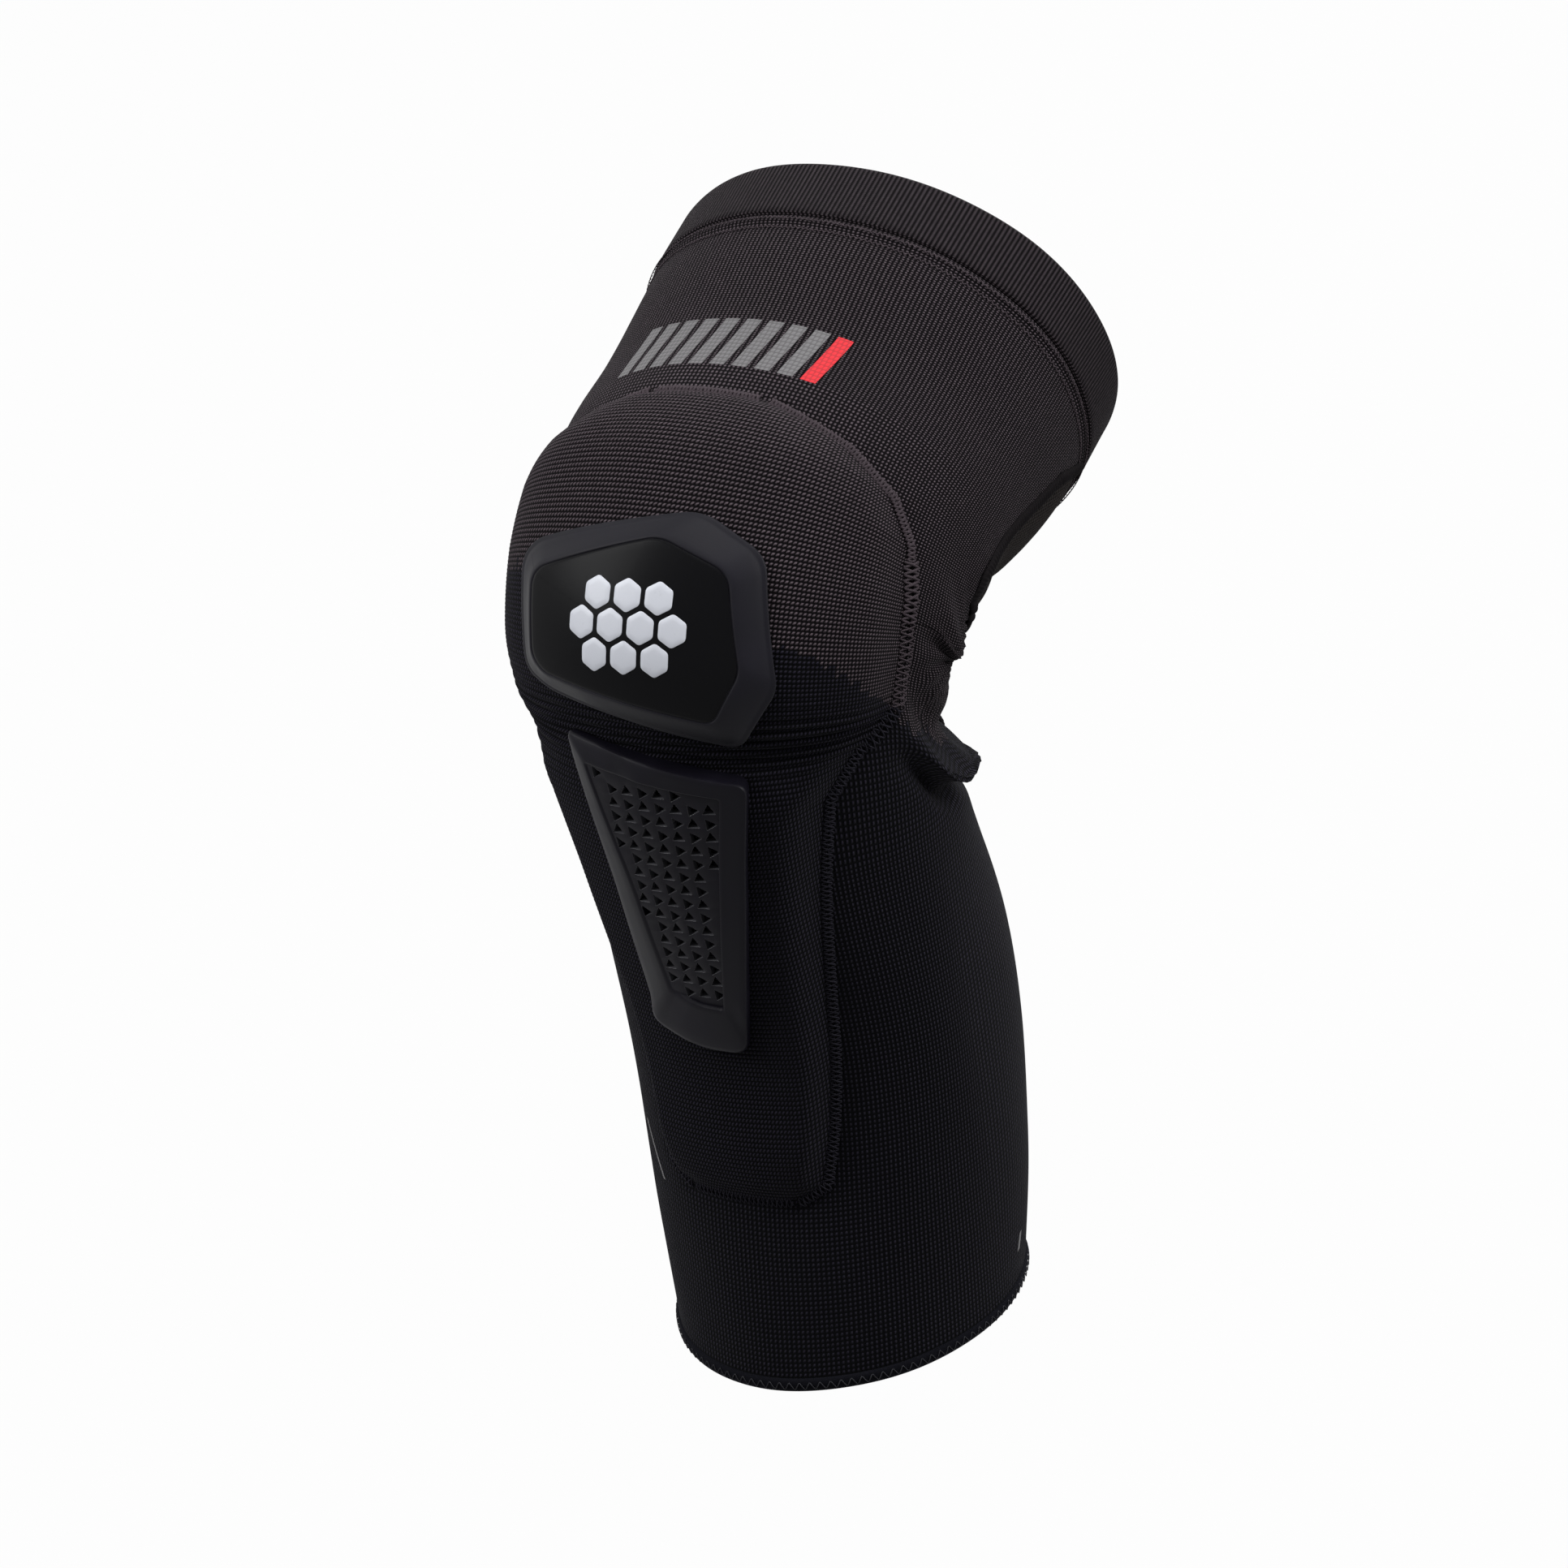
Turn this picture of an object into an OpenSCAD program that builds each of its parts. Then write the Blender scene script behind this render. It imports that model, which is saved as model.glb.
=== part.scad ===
// Knee guard: a knit sleeve with padded pockets, a moulded knee cap and a vented shin plate.
// Millimetres. Origin: centre of the calf opening, on the hem. +Z runs up the shin, the knee faces -Y.

/* [Leg] */
// Bend of the sleeve at the knee, in degrees
knee_bend = 72; // [50:1:80]
// Length of the straight shin part, hem to the start of the bend
shin_length = 200; // [160:1:240]
// Length of the straight thigh part, end of the bend to the top edge
thigh_length = 76; // [60:1:100]
// Radius of the bend, from the crease behind the knee to the leg's middle line
turn_radius = 48; // [46:1:56]

/* [Girth] */
// Width of the sleeve at the hem
hem_width = 103; // [92:1:112]
// Width of the sleeve at the calf
calf_width = 115; // [104:1:126]
// Width of the sleeve at the knee
knee_width = 134; // [124:1:144]
// Width of the sleeve at its top edge
thigh_width = 144; // [134:1:154]
// Depth of the knit in front of the shin's middle line
shin_front = 46; // [41:1:51]
// Depth of the knit in front of the knee's middle line
knee_front = 49; // [44:1:54]
// Depth of the calf behind the middle line
calf_back = 74; // [66:1:80]
// Depth of the thigh behind the middle line
thigh_back = 65; // [58:1:70]

/* [Knit] */
// Thickness of the sleeve's knit
knit_thickness = 1.5; // [1.2:0.1:2.5]
// Thickness of the pocket covers
cover_thickness = 1.2; // [1:0.1:2]
// Height of the binding on the hem
hem_height = 4; // [3:0.5:8]
// Height of the folded band at the top edge
cuff_height = 20; // [14:1:26]
// Thickness of the folded band at the top edge
cuff_thickness = 3; // [2.5:0.1:4]
// How far the roll of knit behind the knee stands out
roll_depth = 6; // [3:0.5:9]

/* [Pads] */
// Thickness of the knee foam
knee_foam = 9; // [6:0.5:12]
// Thickness of the shin foam
shin_foam = 7; // [5:0.5:10]

/* [Shells] */
// Thickness of the knee cap at its rim
cap_rim = 1.6; // [1.2:0.1:2.5]
// Thickness of the knee cap at its raised middle
cap_crown = 4.2; // [3.2:0.1:6]
// Thickness of the glossy facet on the cap
facet_thickness = 0.8; // [0.6:0.1:1.5]
// Thickness of the shin plate's frame
plate_frame = 3; // [2.4:0.1:4.5]
// Thickness of the plate's perforated field
plate_field = 1.4; // [1:0.1:2.2]
// Columns of vents in the shin plate
vent_columns = 8; // [5:1:9]
// Rows of vents in the shin plate
vent_rows = 15; // [8:1:17]

/* [Hidden] */

around = 48;          // steps round a closed band
seat = 0.3;           // clearance between seated soft layers
foam_seat = 0.4;      // clearance between the foam and the knit behind it
shell_seat = 0.5;     // clearance under a moulded shell
thread = 0.6;         // height of a sewn thread row
film = 0.25;          // thickness of a printed mark
seam_gap = 0.4;       // clearance between two panels that meet edge to edge
grip_thickness = 0.8; // silicone bands inside the openings

// Stations along the leg: 0 hem, 1 start of the bend, 2 end of the bend, 3 top edge.
knee_back = turn_radius - 3;
station = [0, 0.2, 0.5, 0.8, 1, 1.5, 2, 2.25, 2.6, 3];
side_depth = [hem_width / 2, hem_width / 2 + 3, calf_width / 2, calf_width / 2 + 0.5,
    knee_width / 2 - 5, knee_width / 2, thigh_width / 2 - 1.5, thigh_width / 2 - 1.5,
    thigh_width / 2 - 1, thigh_width / 2];
front_depth = [shin_front + 11, shin_front + 4, shin_front - 6, shin_front - 0.5, shin_front + 2,
    knee_front, knee_front + 2, knee_front + 3, knee_front + 8.5, knee_front + 11.5];
back_depth = [calf_back - 23, calf_back - 6, calf_back, calf_back - 18, knee_back,
    knee_back - 2.5, knee_back, thigh_back - 8, thigh_back, thigh_back - 4];

function clip(x) = min(max(x, 0), 1);
function mix(a, b, k) = a + (b - a) * k;
function slope(v, k) =
    let(a = max(k - 1, 0), b = min(k + 1, len(v) - 1)) (v[b] - v[a]) / (station[b] - station[a]);
function span_of(u, k = 0) = (k >= len(station) - 2 || u < station[k + 1]) ? k : span_of(u, k + 1);
// Smooth curve through a list of depths, one for each station.
function along(v, u) =
    let(k = span_of(u), d = station[k + 1] - station[k], s = (u - station[k]) / d)
    (2 * s^3 - 3 * s^2 + 1) * v[k] + (s^3 - 2 * s^2 + s) * d * slope(v, k)
    + (3 * s^2 - 2 * s^3) * v[k + 1] + (s^3 - s^2) * d * slope(v, k + 1);

function turn(u) = knee_bend * clip(u - 1);
function middle_y(u) = turn_radius * (1 - cos(turn(u))) + thigh_length * max(u - 2, 0) * sin(knee_bend);
function middle_z(u) = shin_length * min(u, 1) + turn_radius * sin(turn(u))
    + thigh_length * max(u - 2, 0) * cos(knee_bend);
// A point h above the knit, at station u and t degrees round from the front.
function spot(u, t, h) =
    let(d = (cos(t) > 0 ? along(front_depth, u) : along(back_depth, u)) + h)
    [(along(side_depth, u) + h) * sin(t), middle_y(u) - d * cos(t) * cos(turn(u)),
        middle_z(u) + d * cos(t) * sin(turn(u))];

// Station steps for a length in millimetres, on the shin, on the front of the bend and on the thigh.
function shin_step(mm) = mm / shin_length;
function knee_step(mm) = mm / ((turn_radius + knee_front + knee_foam) * knee_bend * PI / 180);
function thigh_step(mm) = mm / thigh_length;
function round_step(mm, u) = mm / along(side_depth, u) * 180 / PI;

// Roll of spare knit behind the knee, along the top of the calf.
roll_at = 0.92;
roll_width = 0.045;
function roll(u, t) = roll_depth * exp(-((u - roll_at) / roll_width)^2) * clip(-1.5 * cos(t));

// Solid between two open grids of points with the same rows and columns.
module grid_solid(outer, inner) {
    n = len(outer);
    m = len(outer[0]);
    o = function(i, j) i * m + j;
    b = function(i, j) n * m + i * m + j;
    quads = concat(
        [for (i = [0:n - 2], j = [0:m - 2]) [o(i, j), o(i + 1, j), o(i + 1, j + 1), o(i, j + 1)]],
        [for (i = [0:n - 2], j = [0:m - 2]) [b(i, j), b(i, j + 1), b(i + 1, j + 1), b(i + 1, j)]],
        [for (j = [0:m - 2]) [o(0, j), o(0, j + 1), b(0, j + 1), b(0, j)]],
        [for (j = [0:m - 2]) [o(n - 1, j + 1), o(n - 1, j), b(n - 1, j), b(n - 1, j + 1)]],
        [for (i = [0:n - 2]) [o(i + 1, 0), o(i, 0), b(i, 0), b(i + 1, 0)]],
        [for (i = [0:n - 2]) [o(i, m - 1), o(i + 1, m - 1), b(i + 1, m - 1), b(i, m - 1)]]);
    polyhedron([for (row = outer) each row, for (row = inner) each row],
        [for (q = quads) each [[q[0], q[1], q[2]], [q[0], q[2], q[3]]]]);
}

// Closed band round the leg: a loop of [station, height] corners carried round the section.
module hoop(loop) {
    k = len(loop);
    p = function(i, j) (i % around) * k + j % k;
    polyhedron(
        [for (i = [0:around - 1], c = loop)
            let(t = i * 360 / around) spot(c[0], t, c[1] + roll(c[0], t))],
        [for (i = [0:around - 1], j = [0:k - 1])
            each [[p(i, j), p(i, j + 1), p(i + 1, j + 1)], [p(i, j), p(i + 1, j + 1), p(i + 1, j)]]]);
}
function band_loop(u0, u1, low, high) = [[u0, high], [u1, high], [u1, low], [u0, low]];

// Patch on the leg: stations us, angles from the function turn_to(u, s), heights from low and high.
module patch(us, ss, angle, low, high) {
    grid_solid([for (u = us) [for (s = ss) spot(u, angle(u, s), high(u, s))]],
        [for (u = us) [for (s = ss) spot(u, angle(u, s), low(u, s))]]);
}

// Ribbon between two paths of [station, angle, height of the ground].
module ribbon(left, right, low, high) {
    rows = [for (i = [0:len(left) - 1]) [left[i], right[i]]];
    grid_solid([for (row = rows) [for (p = row) spot(p[0], p[1], p[2] + high)]],
        [for (row = rows) [for (p = row) spot(p[0], p[1], p[2] + low)]]);
}

// ---- Pockets and foam -------------------------------------------------------------------------

// Half width of the padded pocket round the leg, in degrees, at each station.
pocket_reach = [[0.29, 17], [0.32, 28], [0.4, 31], [0.6, 36], [0.8, 43], [0.94, 48], [1.04, 64],
    [1.12, 72], [1.3, 73], [1.5, 70], [1.67, 62], [1.78, 51], [1.86, 35], [1.92, 14]];
shin_from = 0.29;
shin_to = 0.99;
knee_from = 1.04;
knee_to = 1.92;
shin_edge = 0.34; // share of the half width over which the foam thins towards its edge
knee_edge = 0.55;
function reach(u) = lookup(u, pocket_reach);
function rise(x) = sin(90 * clip(x));
function edge_rise(t, u, share) = rise((1 - abs(t) / reach(u)) / share);
function shin_cover(u, t) = shin_foam * edge_rise(t, u, shin_edge)
    * min(rise((u - shin_from) / 0.12), mix(0.75, 1, rise((shin_to - u) / 0.06)));
function knee_cover(u, t) = knee_foam * edge_rise(t, u, knee_edge)
    * min(rise((knee_to - u) / 0.22), mix(0.4, 1, rise((u - knee_from) / 0.25)));

shin_rows = [0.29, 0.3, 0.315, 0.335, 0.36, 0.4, 0.46, 0.54, 0.62, 0.7, 0.78, 0.85, 0.91, 0.95, 0.975,
    shin_to];
knee_rows = [knee_from, 1.05, 1.065, 1.09, 1.13, 1.19, 1.25, 1.31, 1.37, 1.43, 1.49, 1.55, 1.61, 1.67,
    1.73, 1.79, 1.84, 1.88, 1.905, knee_to];
pocket_columns = [-1, -0.96, -0.9, -0.8, -0.67, -0.54, -0.41, -0.28, -0.14, 0, 0.14, 0.28, 0.41, 0.54,
    0.67, 0.8, 0.9, 0.96, 1];
function inside(list) = [for (i = [2:len(list) - 3]) list[i]];
reach_angle = function(u, s) s * reach(u);

module shin_pad() color("dimgray")
    patch(inside(shin_rows), inside(pocket_columns), reach_angle,
        function(u, s) foam_seat, function(u, s) shin_cover(u, s * reach(u)));

module shin_pocket() color("black")
    patch(shin_rows, pocket_columns, reach_angle,
        function(u, s) shin_cover(u, s * reach(u)) + seat,
        function(u, s) shin_cover(u, s * reach(u)) + seat + cover_thickness);

module knee_pad() color("dimgray")
    patch(inside(knee_rows), inside(pocket_columns), reach_angle,
        function(u, s) foam_seat, function(u, s) knee_cover(u, s * reach(u)));

module knee_pocket() color("#3c3638")
    patch(knee_rows, pocket_columns, reach_angle,
        function(u, s) knee_cover(u, s * reach(u)) + seat,
        function(u, s) knee_cover(u, s * reach(u)) + seat + cover_thickness);

// Rows of thread sewn just inside the pocket's edge, on the same rows and columns as the cover.
thread_out = 0.99;
thread_in = 0.965;
top_of_cover = 2 * seat + cover_thickness;
shin_side = [for (i = [2:len(shin_rows) - 1]) shin_rows[i]];
knee_side = [for (i = [0:len(knee_rows) - 3]) knee_rows[i]];
function backward(list) = [for (i = [len(list) - 1:-1:0]) list[i]];
function shin_thread(share, foot) = concat([for (u = backward(shin_side)) [u, share * reach(u)]],
    [for (s = backward(inside(pocket_columns))) [foot, s * reach(foot)]],
    [for (u = shin_side) [u, -share * reach(u)]]);
function knee_thread(share, head) = concat([for (u = knee_side) [u, -share * reach(u)]],
    [for (s = inside(pocket_columns)) [head, s * reach(head)]],
    [for (u = backward(knee_side)) [u, share * reach(u)]]);
function on_shin(path) = [for (p = path) [p[0], p[1], shin_cover(p[0], p[1]) + top_of_cover]];
function on_knee(path) = [for (p = path) [p[0], p[1], knee_cover(p[0], p[1]) + top_of_cover]];

module shin_pocket_stitching() color("#202024")
    ribbon(on_shin(shin_thread(thread_out, 0.302)), on_shin(shin_thread(thread_in, 0.312)),
        0, thread);

module knee_pocket_stitching() color("#1a1a1c")
    ribbon(on_knee(knee_thread(thread_out, 1.901)), on_knee(knee_thread(thread_in, 1.885)),
        0, thread);

// ---- Sleeve, hem and cuff ---------------------------------------------------------------------

hem_top = shin_step(hem_height);
calf_top = 0.975;
calf_rows = [hem_top, 0.06, 0.12, 0.2, 0.28, 0.34, 0.4, 0.46, 0.54, 0.62, 0.7, 0.78, 0.84, 0.88, 0.9,
    0.92, 0.94, 0.96, calf_top];

module calf_sleeve() color("#17171b")
    hoop(concat([for (u = calf_rows) [u, 0]],
        [for (i = [len(calf_rows) - 1:-1:0]) [calf_rows[i], -knit_thickness]]));

module hem_band() color("#101014")
    hoop([[0, -0.4], [hem_top * 0.2, 0.3], [hem_top * 0.8, 0.5], [hem_top, 0.2],
        [hem_top, -knit_thickness - 0.3], [0, -knit_thickness - 0.5]]);

module hem_stitching() color("#2a2a30")
    hoop(band_loop(hem_top * 0.35, hem_top * 0.75, 0.5 + seat, 0.5 + seat + thread));

module hem_grip() color("gray")
    hoop(band_loop(hem_top + shin_step(3), hem_top + shin_step(13),
        -knit_thickness - seat - grip_thickness, -knit_thickness - seat));

// Edge of the mesh behind the knee, in degrees from the front.
mesh_edge = [[0.98, 95], [1.35, 95], [1.7, 101], [2.2, 104], [2.5, 108], [2.74, 118]];
function mesh_at(u) = lookup(u, mesh_edge);
knee_low = calf_top + shin_step(seam_gap);
cuff_low = 3 - thigh_step(cuff_height);
// The knee's knit meets the thigh's along a slanted line: lower in front, higher behind.
function slant(s, rear) = 2.325 - 0.175 * cos(rear ? 105 + 150 * s : 105 * s);
side_columns = [for (i = [0:30]) i / 15 - 1];
rear_columns = [for (i = [0:9]) i / 9];
knee_shares = [for (i = [0:24]) i / 24];
thigh_shares = [for (i = [0:6]) i / 6];
mesh_gap = 0.5; // degrees between the side panel and the mesh
function panel_angle(u, s, rear) = let(edge = mesh_at(u) + mesh_gap)
    rear ? edge + s * (360 - 2 * edge) : s * mesh_at(u);
module panel(shares, rear, low, high) {
    pts = [for (k = shares) [for (s = rear ? rear_columns : side_columns)
        let(u = mix(low(s), high(s), k)) [u, panel_angle(u, s, rear)]]];
    grid_solid([for (row = pts) [for (p = row) spot(p[0], p[1], 0)]],
        [for (row = pts) [for (p = row) spot(p[0], p[1], -knit_thickness)]]);
}
module knee_panel(rear)
    panel(knee_shares, rear, function(s) knee_low,
        function(s) slant(s, rear) - thigh_step(seam_gap));
module thigh_panel(rear)
    panel(thigh_shares, rear, function(s) slant(s, rear),
        function(s) cuff_low - thigh_step(seam_gap / 2));

module knee_sleeve() color("#3c3638") knee_panel(false);
module knee_rear_mesh() color("#232323") knee_panel(true);
module thigh_sleeve() color("#3c3638") thigh_panel(false);
module thigh_rear_mesh() color("#232323") thigh_panel(true);

// Lower end of the mesh, laid on the back of the calf on the sleeve's own rows and columns.
calf_mesh_edge = 127.5;
calf_mesh_rows = [for (u = calf_rows) if (u > 0.83 && u < 0.97) u];
calf_mesh_columns = [calf_mesh_edge:360 / around:360 - calf_mesh_edge];
calf_mesh_thickness = 0.8;
module calf_layer(rows, low, high)
    grid_solid([for (u = rows) [for (t = calf_mesh_columns) spot(u, t, roll(u, t) + high)]],
        [for (u = rows) [for (t = calf_mesh_columns) spot(u, t, roll(u, t) + low)]]);

module calf_rear_mesh() color("#232323")
    calf_layer(calf_mesh_rows, foam_seat, foam_seat + calf_mesh_thickness);

// Bound lower edge of the mesh.
module calf_rear_binding() color("black")
    calf_layer([0.828, 0.838], foam_seat, foam_seat + calf_mesh_thickness + 0.8);

// Bound edge over the seam between the side panel and the mesh, one strip on each side.
binding_half = 3;
module binding(us, side) {
    left = [for (u = us) [u, side * mesh_at(u) - round_step(binding_half, u), seat]];
    right = [for (u = us) [u, side * mesh_at(u) + round_step(binding_half, u), seat]];
    ribbon(left, right, 0, 1.4);
}
bind_split = 2.42;
knee_bind_rows = [for (k = knee_shares) mix(1.0, bind_split - thigh_step(seam_gap), k)];
thigh_bind_rows = [for (k = thigh_shares) mix(bind_split, cuff_low - 0.12, k)];
module knee_rear_binding() color("black") for (side = [-1, 1]) binding(knee_bind_rows, side);
module thigh_rear_binding() color("black") for (side = [-1, 1]) binding(thigh_bind_rows, side);

module top_cuff() color("#3c3638")
    hoop([[cuff_low, 0.2], [cuff_low + 0.02, 0.6], [2.97, 0.6], [3, 0], [3, 0.6 - cuff_thickness],
        [2.97, -cuff_thickness], [cuff_low, -cuff_thickness]]);

module cuff_stitching() color("#262224")
    for (low = [cuff_low - 0.075, cuff_low - 0.035])
        hoop(band_loop(low, low + 0.018, seat, seat + thread));

module cuff_grip() color("gray")
    hoop(band_loop(cuff_low + 0.08, 2.95, -cuff_thickness - seat - grip_thickness,
        -cuff_thickness - seat));

// ---- Knee cap ---------------------------------------------------------------------------------

cap_columns = [-30, -26, -22, -14, -7, 0, 7, 14, 20, 26, 30, 34];
cap_shares = [0, 0.08, 0.16, 0.28, 0.4, 0.52, 0.64, 0.74, 0.84, 0.92, 1];
cap_top = [[-30, 1.455], [-26, 1.5], [-3, 1.547], [15, 1.59], [29, 1.52], [34, 1.37]];
cap_foot = [[-30, 1.235], [-21, 1.2], [5, 1.157], [26, 1.1], [34, 1.24]];
cap_bevel = 8;        // degrees of bevel at the two sides
cap_bevel_share = 0.16;
function cap_lift(k, t) = clip(min(min(k, 1 - k) / cap_bevel_share,
    min(t - cap_columns[0], cap_columns[len(cap_columns) - 1] - t) / cap_bevel));
function cap_point(k, t) = mix(lookup(t, cap_foot), lookup(t, cap_top), k);
function cap_seat(u, t) = knee_cover(u, t) + seat + cover_thickness + shell_seat;
function cap_spot(k, t, h) = let(u = cap_point(k, t)) spot(u, t, cap_seat(u, t) + h);
module cap_layer(shares, columns, low, high)
    grid_solid([for (k = shares) [for (t = columns) cap_spot(k, t, high(k, t))]],
        [for (k = shares) [for (t = columns) cap_spot(k, t, low(k, t))]]);

module knee_cap() color("#26262a")
    cap_layer(cap_shares, cap_columns, function(k, t) 0,
        function(k, t) mix(cap_rim, cap_crown, cap_lift(k, t)));

facet_low = cap_crown + seat;
module cap_facet() color("#0c0c10")
    cap_layer([for (k = cap_shares) if (k > 0.1 && k < 0.9) k],
        [for (t = cap_columns) if (t > -25 && t < 27) t],
        function(k, t) facet_low, function(k, t) facet_low + facet_thickness);

// Plain mark on the facet: a patch of hexagonal cells in rows, the longest row in the middle.
mark_cell = 8;        // across the flats of one cell
mark_pitch = 9.4;     // between the middles of neighbouring cells
mark_rows = [3, 4, 3];
mark_turn = 2;        // degrees round from the front
mark_share = 0.5;     // share of the cap's height
// Point on the facet x mm round and y mm up from the middle of the mark.
function mark_spot(x, y, h) =
    let(t = mark_turn + x * round_step(1, 1.35))
    cap_spot(mark_share + y * knee_step(1) / (lookup(t, cap_top) - lookup(t, cap_foot)), t, h);
module mark_hexagon(x, y, low, high) {
    corners = [for (k = [0:5]) mark_cell / sqrt(3) * [sin(60 * k), cos(60 * k)]];
    wall = [for (k = [0:5]) let(n = (k + 1) % 6) each [[n, k, 6 + k], [n, 6 + k, 6 + n]]];
    lid = [for (k = [1:4]) [0, k, k + 1]];
    polyhedron([for (h = [high, low], c = corners) mark_spot(x + c[0], y + c[1], h)],
        concat(lid, [for (f = lid) [6 + f[0], 6 + f[2], 6 + f[1]]], wall));
}
module cap_mark() color("silver") {
    low = facet_low + facet_thickness + seat;
    row_step = mark_pitch * sqrt(3) / 2;
    for (r = [0:len(mark_rows) - 1], k = [0:mark_rows[r] - 1])
        mark_hexagon((k - (mark_rows[r] - 1) / 2) * mark_pitch, (r - (len(mark_rows) - 1) / 2) * row_step,
            low, low + film);
}

// ---- Shin plate -------------------------------------------------------------------------------

plate_left = [[0.55, -5], [0.59, -12.5], [0.8, -14.5], [0.95, -17], [1.09, -18.5]];
plate_right = [[0.55, 9], [0.57, 12], [0.8, 21.5], [1, 27], [1.09, 28]];
plate_foot = 0.555;
plate_head_left = 1.085;
plate_head_right = 1.012;
frame_share = 0.18;
foot_share = 0.15;
head_share = 0.12;
rim_share = 0.05;
field_side = frame_share + rim_share;
field_columns = [for (j = [0:vent_columns]) mix(field_side, 1 - field_side, j / vent_columns)];
field_rows = [for (i = [0:vent_rows]) mix(foot_share + 0.02, 1 - head_share - 0.02, i / vent_rows)];
plate_columns = concat([0, rim_share, frame_share], field_columns, [1 - frame_share, 1 - rim_share, 1]);
plate_rows = concat([0, 0.04, foot_share], field_rows, [1 - head_share, 0.96, 1]);
function plate_u(v, s) = mix(plate_foot, mix(plate_head_left, plate_head_right, s) - 0.012 * sin(180 * s), v);
function plate_spot(v, s, h) =
    let(u = plate_u(v, s), t = mix(lookup(u, plate_left), lookup(u, plate_right), s))
    spot(u, t, shin_foam + seat + cover_thickness + shell_seat + h);
function in_field(v, s) = v > foot_share + 0.01 && v < 1 - head_share - 0.01
    && s > frame_share + 0.01 && s < 1 - frame_share - 0.01;
function plate_top(v, s) = in_field(v, s) ? plate_field
    : mix(1.4, plate_frame, clip(min(min(v, 1 - v) / 0.04, min(s, 1 - s) / rim_share)));

// Three corners of a vent inside one cell, pointing up or down.
function vent(v0, v1, s0, s1, up) =
    let(a = mix(v0, v1, up ? 0.24 : 0.76), b = mix(v0, v1, up ? 0.76 : 0.24))
    [[a, mix(s0, s1, 0.24)], [b, mix(s0, s1, 0.5)], [a, mix(s0, s1, 0.76)]];

module shin_plate() color("#1b1b20") {
    n = len(plate_rows);
    m = len(plate_columns);
    is_vent = function(i, j) i >= 3 && i < 3 + vent_rows && j >= 3 && j < 3 + vent_columns;
    cells = [for (i = [3:2 + vent_rows], j = [3:2 + vent_columns]) [i, j]];
    vents = [for (c = cells) vent(plate_rows[c[0]], plate_rows[c[0] + 1], plate_columns[c[1]],
        plate_columns[c[1] + 1], (c[0] + c[1]) % 2 == 0)];
    points = concat(
        [for (v = plate_rows, s = plate_columns) plate_spot(v, s, plate_top(v, s))],
        [for (v = plate_rows, s = plate_columns) plate_spot(v, s, 0)],
        [for (c = vents, p = c) plate_spot(p[0], p[1], plate_field)],
        [for (c = vents, p = c) plate_spot(p[0], p[1], 0)]);
    o = function(i, j) i * m + j;
    b = function(i, j) n * m + i * m + j;
    vo = function(k, c) 2 * n * m + 3 * k + c;
    vb = function(k, c) 2 * n * m + 3 * len(vents) + 3 * k + c;
    // Faces between one cell's four corners and its vent, on the outside or mirrored on the back.
    ring = function(a, q, up) up
        ? [[a[0], a[1], q[1]], [a[0], q[1], q[0]], [a[1], a[2], q[1]], [a[2], a[3], q[2]],
            [a[2], q[2], q[1]], [a[3], a[0], q[0]], [a[3], q[0], q[2]]]
        : [[a[0], a[1], q[0]], [a[0], q[0], q[1]], [a[1], a[2], q[2]], [a[1], q[2], q[0]],
            [a[2], a[3], q[2]], [a[3], q[1], q[2]], [a[3], a[0], q[1]]];
    flip = function(tris) [for (f = tris) [f[2], f[1], f[0]]];
    plain = [for (i = [0:n - 2], j = [0:m - 2]) if (!is_vent(i, j)) [i, j]];
    corner = function(f, i, j) [f(i, j), f(i + 1, j), f(i + 1, j + 1), f(i, j + 1)];
    solid_quads = concat([for (c = plain) corner(o, c[0], c[1])],
        [for (c = plain) let(q = corner(b, c[0], c[1])) [q[0], q[3], q[2], q[1]]],
        [for (j = [0:m - 2]) [o(0, j), o(0, j + 1), b(0, j + 1), b(0, j)]],
        [for (j = [0:m - 2]) [o(n - 1, j + 1), o(n - 1, j), b(n - 1, j), b(n - 1, j + 1)]],
        [for (i = [0:n - 2]) [o(i + 1, 0), o(i, 0), b(i, 0), b(i + 1, 0)]],
        [for (i = [0:n - 2]) [o(i, m - 1), o(i + 1, m - 1), b(i + 1, m - 1), b(i, m - 1)]]);
    vent_faces = [for (k = [0:len(cells) - 1])
        let(i = cells[k][0], j = cells[k][1], up = (i + j) % 2 == 0,
            walls = [for (e = up ? [[0, 1], [1, 2], [2, 0]] : [[1, 0], [0, 2], [2, 1]])
                each [[vo(k, e[0]), vo(k, e[1]), vb(k, e[1])], [vo(k, e[0]), vb(k, e[1]), vb(k, e[0])]]])
        each concat(ring(corner(o, i, j), [vo(k, 0), vo(k, 1), vo(k, 2)], up),
            flip(ring(corner(b, i, j), [vb(k, 0), vb(k, 1), vb(k, 2)], up)), walls)];
    polyhedron(points,
        concat([for (q = solid_quads) each [[q[0], q[1], q[2]], [q[0], q[2], q[3]]]], vent_faces));
}

// ---- Printed marks ----------------------------------------------------------------------------

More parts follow.
